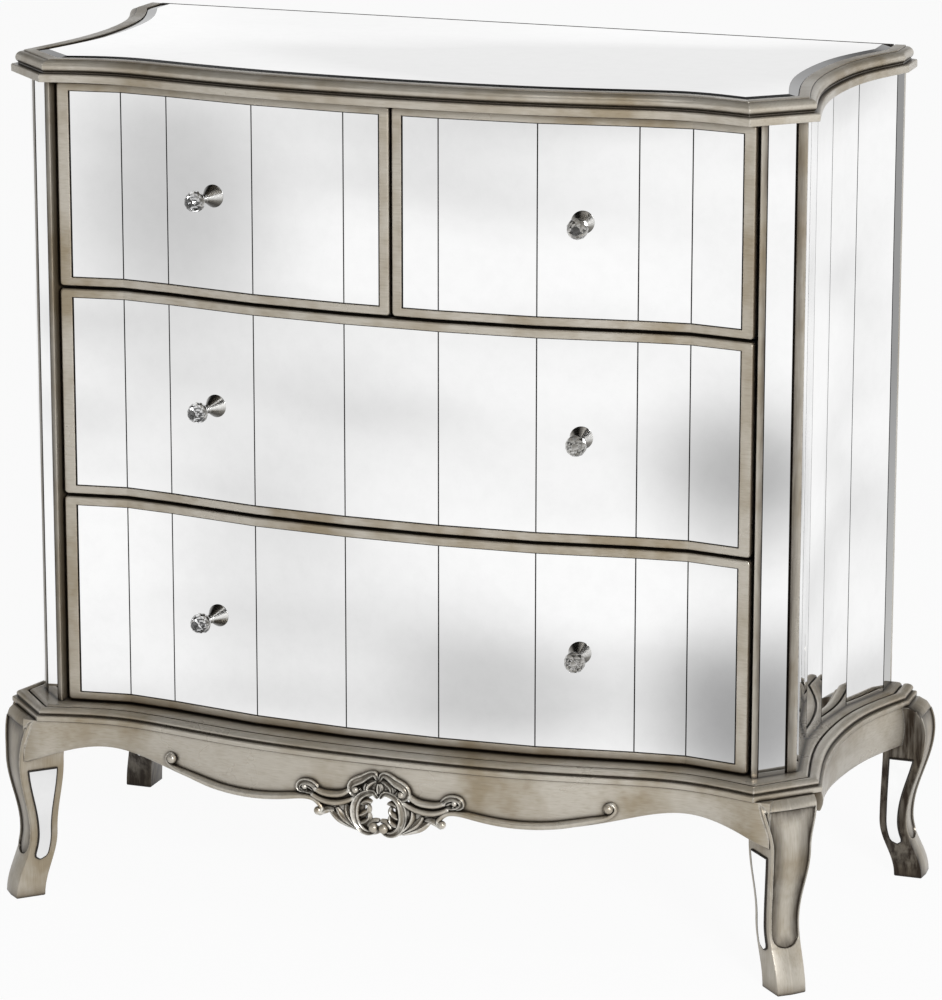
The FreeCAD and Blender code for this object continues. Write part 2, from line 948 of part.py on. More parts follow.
def side_wire(rim, inset, height):
    """Closed line of a rim's right side piece at one height of its profile."""
    edges = side_edges(rim, inset, height)
    inner = inner_corner(rim)
    if rim.kind == "top":
        back = rim.rear_point(rim.border)
        closing = list(reversed(side_edges(rim, rim.border, height)))
    else:
        back = (inner[0], mm("back_line"))
        closing = [straight(back, inner, height)]
    edges.append(straight(rim.rear_point(inset), back, height))
    edges += closing
    edges.append(straight(inner, rim.corner(inset), height))
    return Part.Wire(edges)


def other_side(shape):
    return shape.mirror(Vector(0, 0, 0), Vector(1, 0, 0))


def make_rim(kind, low, tall, profile):
    """Front piece and two side pieces; profile holds inset and height shares."""
    rim = Rim(kind)
    levels = [(share * rim.border, low + high * tall) for share, high in profile]
    front = Part.makeLoft([front_wire(rim, *level) for level in levels], True, True)
    side = Part.makeLoft([side_wire(rim, *level) for level in levels], True, True)
    return Part.makeCompound([front, side, other_side(side)])


def make_sheet(inset, low, tall):
    """Flat sheet with the outline of the top at an inset."""
    rim = Rim("top")
    right = side_edges(rim, inset, low)
    left = [other_side(edge) for edge in right]
    back = rim.rear_point(inset)
    edges = [curve(rim.front_points(inset), low)] + right
    edges.append(straight(back, (-back[0], back[1]), low))
    edges += list(reversed(left))
    outline = Part.Wire(Part.__sortEdges__(edges))
    return Part.Face(outline).extrude(Vector(0, 0, tall))


TOP_PROFILE = (
    (0.0, 0.0), (0.0, 0.29), (0.22, 0.31), (0.22, 0.37), (0.18, 0.41),
    (0.17, 0.52), (0.21, 0.68), (0.30, 0.82), (0.42, 0.92), (0.46, 1.0),
)
BASE_PROFILE = (
    (0.0, 0.0), (0.0, 0.24), (0.07, 0.26), (0.02, 0.38), (0.0, 0.50),
    (0.04, 0.66), (0.12, 0.77), (0.24, 0.80), (0.24, 0.87), (1.0, 1.0),
)


def smooth_face(points, floor, across):
    """Region above a smooth line, up to a height, as a face to extrude."""
    spline = Part.BSplineCurve()
    spline.interpolate(points)
    first, last = points[0], points[-1]
    lift = Vector(0, 0, floor - first.z)
    sink = Vector(0, 0, floor - last.z)
    top = [last + sink, first + lift]
    edges = [spline.toShape(), Part.makeLine(last, top[0])]
    edges += [Part.makeLine(top[0], top[1]), Part.makeLine(top[1], first)]
    return Part.Face(Part.Wire(edges)).extrude(across)


def make_front_apron(legs):
    """Serpentine apron with a shaped lower edge, cut to fit between the legs."""
    rim = Rim("base")
    outer = rim.front_points(mm("apron_inset"))
    reach = mm("apron_end_reach")
    thick = mm("apron_thick")
    low = mm("carving_low")
    high = mm("floor_under")
    right = (outer[-1][0] + reach, outer[-1][1])
    left = (-right[0], right[1])
    inner = [(x, y + thick) for x, y in outer]
    far_right = (right[0] - thick, right[1] + thick)
    far_left = (-far_right[0], far_right[1])
    edges = [curve(outer, low), straight(outer[-1], right, low), straight(right, far_right, low)]
    edges += [straight(far_right, inner[-1], low), curve(inner, low), straight(inner[0], far_left, low)]
    edges += [straight(far_left, left, low), straight(left, outer[0], low)]
    plan = Part.Face(Part.Wire(Part.__sortEdges__(edges))).extrude(Vector(0, 0, high - low))
    half = [(0.0, mm("apron_notch_low"))]
    for name in ("notch", "rise", "dip", "slope", "arch"):
        half.append((mm("apron_%s_x" % name), mm("apron_%s_low" % name)))
    half.append((right[0], mm("apron_end_low")))
    start = outer[len(outer) // 2][1] - thick
    line = [Vector(-x, start, z) for x, z in reversed(half[1:])] + [Vector(x, start, z) for x, z in half]
    face = smooth_face(line, high, Vector(0, thick * 5, 0))
    return plan.common(face).cut(legs)


def make_side_apron(legs):
    """Side apron from the front leg to the rear leg, right side."""
    rim = Rim("base")
    inset = mm("apron_inset")
    thick = mm("apron_thick")
    low = mm("side_apron_rear_low")
    low = min(low, mm("side_apron_middle_low")) - thick
    high = mm("floor_under")
    outer = rim.side_points(inset)
    rear = rim.rear_point(inset)
    inner = [(x - thick, y) for x, y in outer]
    inner_rear = (rear[0] - thick, rear[1])
    edges = [curve(outer, low), straight(outer[-1], rear, low), straight(rear, inner_rear, low)]
    edges += [straight(inner_rear, inner[-1], low), curve(inner, low), straight(inner[0], outer[0], low)]
    plan = Part.Face(Part.Wire(Part.__sortEdges__(edges))).extrude(Vector(0, 0, high - low))
    start = number(post_front())[0] - thick
    middle = outer[2][1]
    line = [
        Vector(start, outer[0][1], mm("side_apron_front_low")),
        Vector(start, middle, mm("side_apron_middle_low")),
        Vector(start, rear[1], mm("side_apron_rear_low")),
    ]
    face = smooth_face(line, high, Vector(thick * 9, 0, 0))
    return plan.common(face).cut(legs)


def make_carving(apron):
    """Pierced scroll carving that follows the face of the apron."""
    rim = Rim("base")
    face_y = rim.front_points(mm("apron_inset"))[len(rim.front)][1]
    thick = mm("carving_thick")
    wide = mm("carving_half")
    low = mm("carving_low")
    shoulder = mm("carving_shoulder")
    high = mm("carving_high")
    start = face_y - thick
    half = [
        (wide * 0.20, low),
        (wide * 0.55, (low + shoulder) / 2),
        (wide, shoulder),
        (wide, (shoulder + high) / 2),
        (wide * 0.55, high - thick),
    ]
    line = [(-x, z) for x, z in reversed(half)] + half + [(0.0, high)]
    spline = Part.BSplineCurve()
    spline.interpolate([Vector(x, start, z) for x, z in line], PeriodicFlag=True)
    plate = Part.Face(Part.Wire(spline.toShape())).extrude(Vector(0, thick * 1.5, 0))
    hole_wide = mm("carving_hole_wide")
    hole_tall = mm("carving_hole_tall")
    corner = Vector(-hole_wide / 2, start - thick, mm("carving_hole_high") - hole_tall / 2)
    hole = Part.makeBox(hole_wide, thick * 9, hole_tall, corner)
    return plate.cut(hole).cut(apron)


class Leg:
    """A cabriole leg: rectangles whose place and size change with height.

    A station holds its height, how far out the face stands, its width, its
    depth and how far its middle is moved across the leg's direction.
    """

    LEVELS = 14

    def __init__(self, root_point, direction, stations):
        self.root = root_point
        self.angle = math.radians(direction)
        self.stations = stations

    def at(self, height):
        """Out, width, depth and shift at a height, eased between the stations."""
        for upper, lower in zip(self.stations, self.stations[1:]):
            if height >= lower[0]:
                break
        share = (upper[0] - height) / (upper[0] - lower[0])
        ease = (1 - math.cos(math.pi * share)) / 2
        return [a + (b - a) * ease for a, b in zip(upper[1:], lower[1:])]

    def point(self, outward, across, height):
        """A point from its distances along and across the leg's direction."""
        x = self.root[0] + outward * math.cos(self.angle) - across * math.sin(self.angle)
        y = self.root[1] + outward * math.sin(self.angle) + across * math.cos(self.angle)
        return Vector(x, y, height)

    def wire(self, height, margin, sides):
        """Rectangle of the leg's depth less a margin, between two distances across."""
        outward, _, deep, shift = self.at(height)
        near, far = outward - deep + margin, outward - margin
        low, high = sides[0] + shift, sides[1] + shift
        corners = [(near, low), (far, low), (far, high), (near, high)]
        places = [self.point(end, side, height) for end, side in corners]
        return Part.makePolygon(places + places[:1])

    def heights(self, low, high):
        return [low + (high - low) * step / self.LEVELS for step in range(self.LEVELS + 1)]

    def block(self):
        """The leg from the floor to the underside of the chest."""
        wires = []
        for height in self.heights(self.stations[-1][0], self.stations[0][0]):
            half = self.at(height)[1] / 2
            wires.append(self.wire(height, 0.0, (-half, half)))
        return Part.makeLoft(wires, True, True)

    def plate(self, side, outer_gap, inner_gap):
        """Plate in one flank between two depths below it; side is -1 or 1."""
        wires = []
        for height in self.heights(mm("inset_low"), mm("inset_high")):
            half = self.at(height)[1] / 2
            depths = (side * (half - outer_gap), side * (half - inner_gap))
            wires.append(self.wire(height, mm("inset_margin"), depths))
        return Part.makeLoft(wires, True, True)

    def inset(self, side):
        """Mirror plate sunk in one flank."""
        sunk = mm("inset_sunk")
        return self.plate(side, sunk, sunk + mm("inset_thick"))

    def rebate(self, side):
        """Space for a mirror plate, open to the flank."""
        return self.plate(side, -mm("inset_margin"), mm("inset_sunk") + mm("inset_thick"))


def front_leg():
    """Right front leg, facing forty-five degrees outwards."""
    post = number(post_front())
    arris = number(post_side())
    middle = ((post[0] + arris[0]) / 2, (post[1] + arris[1]) / 2)
    root_point = (middle[0] + mm("leg_root_side"), middle[1] - mm("leg_root_front"))
    stations = []
    for name, height in (("head", mm("floor_under")), ("knee", mm("leg_knee_high")),
                         ("ankle", mm("leg_ankle_high")), ("foot", 0.0)):
        station = [mm("leg_%s_%s" % (name, what)) for what in ("out", "wide", "deep")]
        stations.append([height] + station + [0.0])
    return Leg(root_point, -45.0, stations)


def rear_leg():
    """Right rear leg, facing the side and kicked backwards."""
    stations = []
    for name, height in (("head", mm("floor_under")), ("knee", mm("rear_knee_high")),
                         ("ankle", mm("leg_ankle_high")), ("foot", 0.0)):
        station = [mm("rear_%s_%s" % (name, what)) for what in ("out", "wide", "deep", "back")]
        stations.append([height] + station)
    return Leg(number(rear_corner()), 0.0, stations)


def make_back_apron():
    half = rear_post_inner()
    low = (-half, size("back_line") - size("apron_thick"), size("back_apron_low"))
    span = (half * 2, size("apron_thick"), size("floor_under") - size("back_apron_low"))
    return board("back_apron", low, span)


# ------------------------------------------------------------ whole object

def case_nodes():
    """The fixed sub-parts by node name."""
    nodes = {}
    front_block = make_front_post()
    front_glass = make_post_mirror()
    wall = make_side_panel()
    wall_glass = make_side_mirrors()
    rear_block = make_rear_post()
    nodes["front_post_right"] = front_block
    nodes["front_post_left"] = mirrored("front_post_left", front_block)
    glass_pair = [front_glass, mirrored("post_glass_left", front_glass)]
    nodes["front_post_mirrors"] = group("front_post_mirrors", glass_pair)
    nodes["side_panel_right"] = wall
    nodes["side_panel_left"] = mirrored("side_panel_left", wall)
    nodes["side_mirrors_right"] = wall_glass
    nodes["side_mirrors_left"] = mirrored("side_mirrors_left", wall_glass)
    nodes["rear_posts"] = group("rear_posts", [rear_block, mirrored("rear_block_left", rear_block)])
    nodes["back_panel"] = make_back_panel()
    nodes["drawer_rails"] = make_rails()
    nodes["drawer_runners"] = make_runners()
    nodes["centre_divider"] = make_divider()
    nodes["case_floor"] = make_floor()
    nodes["apron_back"] = make_back_apron()
    return nodes


def curved_nodes():
    """The sub-parts with curved outlines by node name."""
    top = mm("case_top")
    glass = mm("top_glass")
    board_tall = mm("top_tall") - glass - mm("top_glass_sink")
    border = mm("top_border")
    front = front_leg()
    rear = rear_leg()
    leg_front = front.block().cut(front.rebate(-1)).cut(front.rebate(1))
    leg_rear = rear.block().cut(rear.rebate(-1))
    plates = [front.inset(-1), front.inset(1), rear.inset(-1)]
    plates += [other_side(plate) for plate in plates]
    blocks = [front.block(), rear.block()]
    every_leg = Part.makeCompound(blocks + [other_side(block) for block in blocks])
    apron = make_front_apron(every_leg)
    side_apron = make_side_apron(every_leg)
    return {
        "top_board": make_sheet(border, top, board_tall),
        "top_mirror": make_sheet(border, top + board_tall, glass),
        "top_moulding": make_rim("top", top, mm("top_tall"), TOP_PROFILE),
        "base_moulding": make_rim("base", mm("floor_under"), mm("base_tall"), BASE_PROFILE),
        "apron_front": apron,
        "apron_right": side_apron,
        "apron_left": other_side(side_apron),
        "carving": make_carving(apron),
        "leg_front_right": leg_front,
        "leg_front_left": other_side(leg_front),
        "leg_rear_right": leg_rear,
        "leg_rear_left": other_side(leg_rear),
        "leg_mirrors": Part.makeCompound(plates),
    }


def drawer_nodes():
    """The sub-parts of the four drawers by node name."""
    nodes = {}
    for name, row_name in (("lower", "lower"), ("middle", "middle")):
        for word, piece in Drawer("drawer_" + name, row_name, (-1, 1)).make().items():
            nodes["%s_%s" % ("drawer_" + name, word)] = piece
    for word, piece in Drawer("drawer_right", "upper", (1,)).make().items():
        nodes["drawer_right_" + word] = piece
        nodes["drawer_left_" + word] = mirrored("left_" + word, piece)
    return nodes


def check(piece, name):
    """Stop if a sub-part did not build as valid closed solids."""
    shape = piece.Shape
    if shape.isNull() or not shape.isValid() or not shape.Solids:
        raise RuntimeError("bad shape: " + name)
    if min(solid.Volume for solid in shape.Solids) <= 0:
        raise RuntimeError("empty solid: " + name)


def main():
    fill_sheet()
    nodes = case_nodes()
    nodes.update(drawer_nodes())
    for name, shape in curved_nodes().items():
        nodes[name] = fixed_shape(name, shape)
    DOC.recompute()
    for item in DOC.Objects:
        if "Invalid" in item.State or "Error" in item.State:
            raise RuntimeError("failed: " + item.Label)
    os.makedirs("parts", exist_ok=True)
    for name, piece in nodes.items():
        piece.Label = name
        check(piece, name)
        piece.Shape.exportStep("parts/%s.step" % name)


main()
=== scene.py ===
import math

import bmesh
import bpy
import numpy as np
from mathutils import Matrix, Vector


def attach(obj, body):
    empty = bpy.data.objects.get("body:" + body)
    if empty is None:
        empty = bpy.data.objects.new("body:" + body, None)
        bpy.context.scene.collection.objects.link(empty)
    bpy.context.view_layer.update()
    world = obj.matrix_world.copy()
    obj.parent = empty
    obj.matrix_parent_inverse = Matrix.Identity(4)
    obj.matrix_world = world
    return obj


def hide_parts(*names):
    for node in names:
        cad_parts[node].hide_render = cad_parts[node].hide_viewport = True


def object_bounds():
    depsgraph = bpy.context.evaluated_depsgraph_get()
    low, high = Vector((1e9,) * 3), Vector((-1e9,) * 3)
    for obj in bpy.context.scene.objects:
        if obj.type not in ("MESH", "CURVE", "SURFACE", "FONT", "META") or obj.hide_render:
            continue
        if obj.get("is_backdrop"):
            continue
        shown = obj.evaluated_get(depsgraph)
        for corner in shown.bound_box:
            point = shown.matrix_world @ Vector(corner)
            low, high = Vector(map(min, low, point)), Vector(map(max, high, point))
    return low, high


# Mirrored bombe chest: the front faces -Y and the floor is z = 0.
# The meshes are drawn in millimetres, and everything else is in metres.

MM = 0.001

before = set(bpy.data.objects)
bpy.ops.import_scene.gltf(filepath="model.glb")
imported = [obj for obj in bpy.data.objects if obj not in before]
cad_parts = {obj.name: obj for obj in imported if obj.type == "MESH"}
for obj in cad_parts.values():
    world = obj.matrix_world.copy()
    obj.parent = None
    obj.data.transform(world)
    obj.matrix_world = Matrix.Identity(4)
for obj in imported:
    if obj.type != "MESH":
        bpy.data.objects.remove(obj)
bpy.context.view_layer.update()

# Driving places, the same as the solids'.
FRONT_LINE = -167.15
BACK_LINE = 215.0
FLOOR_UNDER = 213.0
CASE_TOP = 931.0
FACETS = ((53.5, -22.7), (161.0, -15.6), (267.0, 2.0), (323.0, 8.3), (380.0, 0.0))
DRAWER_HALF = 394.0
POST_FRONT = (398.5, FRONT_LINE - 13.4)
POST_SIDE = (441.0, FRONT_LINE + 31.6)
SIDE_CORNERS = ((420.0, 137.0), (418.5, 203.0), (427.5, 273.5), (452.0, 343.0))
REAR_CORNER = (451.0, 382.15)
BASE_HIGH = 14.0
FRAME_PROUD = 1.5
FRAME_WIDE = 9.5
MIRROR_THICK = 4.0
KNOB_X = 208.7
KNOB_OUT = -7.68
KNOB_TURN = math.atan2(17.6, 106.0)


# ---- meshes

class Builder:
    """Collects vertices and faces, in millimetres, and makes one piece of them."""

    def __init__(self):
        self.verts = []
        self.faces = []
        self.values = {}

    def row(self, points):
        start = len(self.verts)
        self.verts += [tuple(p) for p in points]
        return list(range(start, len(self.verts)))

    def grid(self, rows, around=False):
        """Quads between rows of points; around closes every row on itself."""
        made = [self.row(points) for points in rows]
        count = len(made[0])
        last = count if around else count - 1
        for one, other in zip(made, made[1:]):
            for i in range(last):
                j = (i + 1) % count
                self.faces.append((one[i], one[j], other[j], other[i]))
        return made

    def tube(self, rows):
        """A closed solid from closed rows, with both ends filled."""
        made = self.grid(rows, around=True)
        self.faces.append(tuple(reversed(made[0])))
        self.faces.append(tuple(made[-1]))

    def bar(self, rows):
        """A closed solid from rows that run along it, with both ends filled."""
        self.grid(rows + rows[:1])
        self.faces.append(tuple(self.row([row[0] for row in rows])))
        self.faces.append(tuple(self.row([row[-1] for row in rows])))
        return self

    def prism(self, outline, low, high):
        """A plan outline carried from one height to another."""
        self.tube([[(x, y, low) for x, y in outline], [(x, y, high) for x, y in outline]])
        return self

    def piece(self, name, material, body="case", slot="silver_leaf", sharp=32.0, flat=False):
        """The finished object, riding on its body."""
        mesh = bpy.data.meshes.new(name)
        mesh.from_pydata([Vector(v) * MM for v in self.verts], [], self.faces)
        for (key, domain), carried in self.values.items():
            mesh.attributes.new(key, "FLOAT", domain).data.foreach_set("value", carried)
        tidy_mesh(mesh)
        mesh.materials.append(material)
        if not flat:
            mesh.shade_smooth()
            mesh.set_sharp_from_angle(angle=math.radians(sharp))
        obj = show(name, mesh)
        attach(obj, body)
        return obj


def tidy_mesh(mesh):
    """Weld repeated points and turn every face outwards."""
    work = bmesh.new()
    work.from_mesh(mesh)
    bmesh.ops.remove_doubles(work, verts=work.verts, dist=0.00001)
    bmesh.ops.recalc_face_normals(work, faces=work.faces)
    work.to_mesh(mesh)
    work.free()


def spline(points, steps):
    """Natural cubic curve through points, as steps + 1 points."""
    known = np.array(points, float)
    runs = np.linalg.norm(np.diff(known, axis=0), axis=1)
    at = np.concatenate([[0.0], np.cumsum(runs)])
    count = len(known)
    rules = np.eye(count)
    wanted = np.zeros_like(known)
    for i in range(1, count - 1):
        before, after = runs[i - 1], runs[i]
        rules[i, i - 1:i + 2] = (before, 2 * (before + after), after)
        wanted[i] = 6 * ((known[i + 1] - known[i]) / after - (known[i] - known[i - 1]) / before)
    bend = np.linalg.solve(rules, wanted)
    found = []
    for place in np.linspace(0.0, at[-1], steps + 1):
        i = min(int(np.searchsorted(at, place, side="right")) - 1, count - 2)
        run = runs[i]
        a = (at[i + 1] - place) / run
        b = (place - at[i]) / run
        curve = a * known[i] + b * known[i + 1]
        curve += ((a ** 3 - a) * bend[i] + (b ** 3 - b) * bend[i + 1]) * run ** 2 / 6
        found.append(tuple(float(v) for v in curve))
    return found


def oval(centre, radii, start, end, steps):
    """Points of an oval's edge in degrees, start to end."""
    turns = [math.radians(start + (end - start) * i / steps) for i in range(steps + 1)]
    return [(centre[0] + radii[0] * math.cos(t), centre[1] + radii[1] * math.sin(t)) for t in turns]


def arc(centre, radius, start, end, steps):
    return oval(centre, (radius, radius), start, end, steps)


def ease(share):
    """Cosine easing from 0 to 1."""
    return (1 - math.cos(math.pi * min(max(share, 0.0), 1.0))) / 2


SIDES = ((1, "right"), (-1, "left"))


def flip(points, side=-1):
    """The same points on the other side of the chest, or as they are for side 1."""
    return [(side * p[0],) + tuple(p[1:]) for p in points]


def show(name, data):
    """A new object in the scene."""
    obj = bpy.data.objects.new(name, data)
    bpy.context.scene.collection.objects.link(obj)
    return obj


def facet_y(x):
    """Face of the drawer mirrors at a distance from the middle."""
    x = abs(x)
    line = ((0.0, FACETS[0][1]),) + FACETS
    for one, other in zip(line, line[1:]):
        if x <= other[0] or other is line[-1]:
            share = (x - one[0]) / (other[0] - one[0])
            return FRONT_LINE + one[1] + (other[1] - one[1]) * share


# ---- materials

def rgb(red, green, blue):
    """A colour as it is seen on a screen, 0 to 255, in the renderer's units."""
    def straight(value):
        share = value / 255
        return share / 12.92 if share <= 0.04045 else ((share + 0.055) / 1.055) ** 2.4
    return (straight(red), straight(green), straight(blue), 1.0)


def grey(value):
    return rgb(value, value, value)


WHITE = grey(255)


class Nodes:
    """A node tree with short calls for the nodes that this scene uses."""

    def __init__(self, tree):
        self.tree = tree

    def node(self, kind, **settings):
        made = self.tree.nodes.new(kind)
        for key, value in settings.items():
            setattr(made, key, value)
        return made

    def link(self, source, target):
        self.tree.links.new(source, target)

    def fill(self, made, values):
        """Give a node's inputs their sockets or values."""
        for key, value in values.items():
            if isinstance(value, bpy.types.NodeSocket):
                self.link(value, made.inputs[key])
            else:
                made.inputs[key].default_value = value

    def ramp(self, value, stops):
        """Colour ramp; stops hold place and colour or grey."""
        made = self.node("ShaderNodeValToRGB")
        points = made.color_ramp.elements
        while len(points) < len(stops):
            points.new(0.5)
        for point, (place, colour) in zip(points, stops):
            point.position = place
            point.color = colour if isinstance(colour, tuple) else (colour, colour, colour, 1.0)
        self.link(value, made.inputs["Fac"])
        return made.outputs["Color"]

    def mix(self, share, one, other, how="MIX"):
        """Mix two colours; each input is a socket or a value."""
        made = self.node("ShaderNodeMix", data_type="RGBA", blend_type=how)
        self.fill(made, {0: share, 6: one, 7: other})
        return made.outputs[2]

    def maths(self, how, one, other):
        made = self.node("ShaderNodeMath", operation=how, use_clamp=True)
        self.fill(made, {0: one, 1: other})
        return made.outputs[0]

    def times(self, one, other):
        return self.maths("MULTIPLY", one, other)

    def tinted(self, colour, tint, share=1.0):
        """A colour multiplied by a tint, by a share."""
        return self.mix(share, colour, tint, "MULTIPLY")

    def glow(self, colour, kind="ShaderNodeBackground"):
        """A light of one colour at strength 1."""
        made = self.node(kind)
        self.fill(made, {"Color": colour, "Strength": 1.0})
        return made.outputs[0]

    def blend(self, share, one, other):
        """Mix two shaders."""
        made = self.node("ShaderNodeMixShader")
        self.fill(made, {0: share, 1: one, 2: other})
        return made.outputs[0]


class Paint(Nodes):
    """A material built round its shader."""

    def __init__(self, name):
        self.material = bpy.data.materials.new(name)
        self.material.use_nodes = True
        super().__init__(self.material.node_tree)
        self.shader = self.tree.nodes["Principled BSDF"]
        self.place = self.node("ShaderNodeTexCoord").outputs["Object"]

    def noise(self, scale, detail=4.0, rough=0.55, stretch=(1.0, 1.0, 1.0), warp=0.0,
              turn=(0.0, 0.0, 0.0)):
        """Noise over the object's coordinates, stretched and turned."""
        place = self.node("ShaderNodeMapping")
        self.fill(place, {"Vector": self.place, "Scale": stretch, "Rotation": turn})
        made = self.node("ShaderNodeTexNoise")
        self.fill(made, {"Scale": scale, "Detail": detail, "Roughness": rough,
                         "Distortion": warp, "Vector": place.outputs["Vector"]})
        return made.outputs["Fac"]

    def mesh_value(self, name):
        """A value that the mesh carries at its points or faces."""
        return self.node("ShaderNodeAttribute", attribute_name=name).outputs["Fac"]

    def away(self, place, reach):
        """0 at a place and 1 beyond its reach, with a soft change."""
        gap = self.node("ShaderNodeVectorMath", operation="DISTANCE")
        self.fill(gap, {0: self.place, 1: place})
        fade = self.node("ShaderNodeMapRange", interpolation_type="SMOOTHERSTEP")
        self.fill(fade, {"Value": gap.outputs["Value"], "From Max": reach})
        return fade.outputs["Result"]

    def crevice(self, distance, inside=False):
        """1 in the open and 0 deep in a crevice, or at an edge if inside."""
        made = self.node("ShaderNodeAmbientOcclusion", samples=8, inside=inside)
        made.inputs["Distance"].default_value = distance
        return made.outputs["AO"]

    def bump(self, height, strength, distance, rounding=None):
        made = self.node("ShaderNodeBump")
        self.fill(made, {"Strength": strength, "Distance": distance, "Height": height})
        if rounding:
            soft = self.node("ShaderNodeBevel", samples=4)
            soft.inputs["Radius"].default_value = rounding
            self.link(soft.outputs["Normal"], made.inputs["Normal"])
        self.link(made.outputs["Normal"], self.shader.inputs["Normal"])

    def finish(self, colour, rough, metal, **constants):
        """The material, with its colour, roughness and metal, and constants on their own sockets."""
        self.fill(self.shader, {"Base Color": colour, "Roughness": rough, "Metallic": metal})
        for key, value in constants.items():
            self.shader.inputs[key.replace("_", " ")].default_value = value
        return self.material


LEAF_LIGHT = rgb(208, 204, 196)
LEAF_MIDDLE = rgb(189, 183, 172)
LEAF_WARM = rgb(160, 151, 134)
# Edge colour of rubbed wear and a painted highlight.
LEAF_WEAR_AND_HIGHLIGHT = rgb(228, 224, 215)
# Glaze colours; in the leaf they also paint shade in grooves, hollows and recesses, and dark worn
# specks on edges.
GLAZE_DARK_AND_SHADE = rgb(26, 20, 14)
GLAZE_THIN_AND_SHADE = rgb(96, 82, 62)
GLAZE_BROWN_AND_SHADE = rgb(38, 28, 17)


def silver_leaf(name, stretch, wear_and_highlight=0.35, edge_wide=0.0018):
    """Brushed silver leaf with a warm brown glaze and painted shade in the grooves, glaze on the
    edges, and edges lightened by wear and a painted highlight.
    """
    paint = Paint(name)
    streak = paint.noise(110.0, 3.0, 0.5, stretch)
    cloud = paint.noise(8.0, 4.0, 0.62)
    base = paint.ramp(streak, ((0.22, LEAF_WARM), (0.46, LEAF_MIDDLE), (0.80, LEAF_LIGHT)))
    base = paint.mix(0.55, base, LEAF_MIDDLE)
    tint = paint.ramp(cloud, ((0.36, rgb(202, 190, 168)), (0.56, rgb(255, 254, 252))))
    base = paint.tinted(base, tint, 0.9)
    # Painted shade: broad darkening within 18 mm of hollows, towards a thin brown glaze.
    near = paint.ramp(paint.crevice(0.018), ((0.34, 0.0), (0.94, 1.0)))
    base = paint.mix(paint.maths("MAXIMUM", near, 0.15), GLAZE_THIN_AND_SHADE, base)
    smear = paint.ramp(paint.noise(26.0, 4.0, 0.6, stretch), ((0.35, 0.70), (0.60, 1.0)))
    # Glaze and painted shade that the meshes carry: round the legs' sunk panels, on the post strips
    # by the mirrors, and painted shade on the rear legs' inner sides.
    base = paint.mix(paint.times(paint.mesh_value("GlazeLine"), smear), base, GLAZE_BROWN_AND_SHADE)
    # Painted shade in the grooves, within 6 mm, mixed with glaze, and a faint speckle of dirt.
    glaze_and_shade_groove = paint.ramp(paint.crevice(0.006), ((0.44, 0.0), (0.90, 1.0)))
    dirt = paint.ramp(paint.noise(80.0, 5.0, 0.7), ((0.35, 0.1), (0.65, 1.0)))
    base = paint.mix(paint.maths("MAXIMUM", glaze_and_shade_groove, paint.times(dirt, 0.15)), GLAZE_DARK_AND_SHADE, base)
    # Edges lightened: rubbed wear and a painted highlight, strongest on the carving.
    edge = paint.ramp(paint.crevice(edge_wide, inside=True), ((0.40, 1.0), (0.70, 0.0)))
    speck = paint.ramp(paint.noise(170.0, 4.0, 0.75), ((0.48, 0.0), (0.62, 1.0)))
    base = paint.mix(paint.times(paint.times(edge, glaze_and_shade_groove), wear_and_highlight), base, LEAF_WEAR_AND_HIGHLIGHT)
    base = paint.mix(paint.times(paint.times(edge, speck), 0.45), base, GLAZE_DARK_AND_SHADE)
    height = paint.mix(0.35, streak, paint.noise(260.0, 3.0))
    paint.bump(height, 0.05, 0.0003, rounding=0.0009)
    rough = paint.ramp(cloud, ((0.30, 0.36), (0.65, 0.27)))
    return paint.finish(base, rough, 0.45, Specular_IOR_Level=0.3)


# Painted reflections in the drawer mirrors, soft grey clouds: place, reach and tone at the heart.
PAINTED_MIRROR_REFLECTIONS = (
    ((0.39, -0.16, 0.29), 0.17, 168),
    ((0.38, -0.16, 0.55), 0.16, 205),
    ((-0.26, -0.16, 0.80), 0.24, 206),
    ((-0.16, -0.18, 0.42), 0.20, 236),
    ((0.10, -0.18, 0.28), 0.18, 232),
)


def silvering_and_painted_reflections(paint):
    """Tone of an old mirror: painted reflections as soft slanting grey clouds and spots, and a faint
    fine mottle.
    """
    cloud = paint.noise(3.1, 1.5, 0.4, (0.55, 1.0, 1.9), turn=(0.0, math.radians(34.0), 0.0))
    tone = paint.ramp(cloud, ((0.34, grey(226)), (0.46, grey(247)), (0.56, grey(254))))
    for place, reach, heart in PAINTED_MIRROR_REFLECTIONS:
        shade = paint.ramp(paint.away(place, reach), ((0.0, grey(heart)), (1.0, 1.0)))
        tone = paint.tinted(tone, shade)
    mottle = paint.ramp(paint.noise(60.0, 5.0, 0.6), ((0.30, 0.975), (0.60, 1.0)))
    return paint.tinted(tone, mottle)


def silvered(paint, tone, rough):
    """A mirror of a tone and roughness, with the slightest waviness."""
    paint.bump(paint.noise(3.0, 1.0), 0.02, 0.0006)
    return paint.finish(tone, rough, 1.0)


def mirror_glass():
    """Silvered sheet: sharp reflection, painted grey reflections in its tone, and faint ageing."""
    paint = Paint("mirror_sheet")
    rough = paint.ramp(paint.noise(40.0, 4.0), ((0.40, 0.004), (0.80, 0.016)))
    return silvered(paint, silvering_and_painted_reflections(paint), rough)


def bevel_glass():
    """The ground edge of the top mirror, which looks into the dark, with a painted dark reflection in
    its colour.
    """
    paint = Paint("mirror_bevel")
    cloud = paint.noise(9.0, 3.0, 0.5)
    tone = paint.ramp(cloud, ((0.35, rgb(26, 26, 27)), (0.62, rgb(66, 67, 69))))
    return silvered(paint, tone, paint.ramp(cloud, ((0.3, 0.06), (0.7, 0.02))))


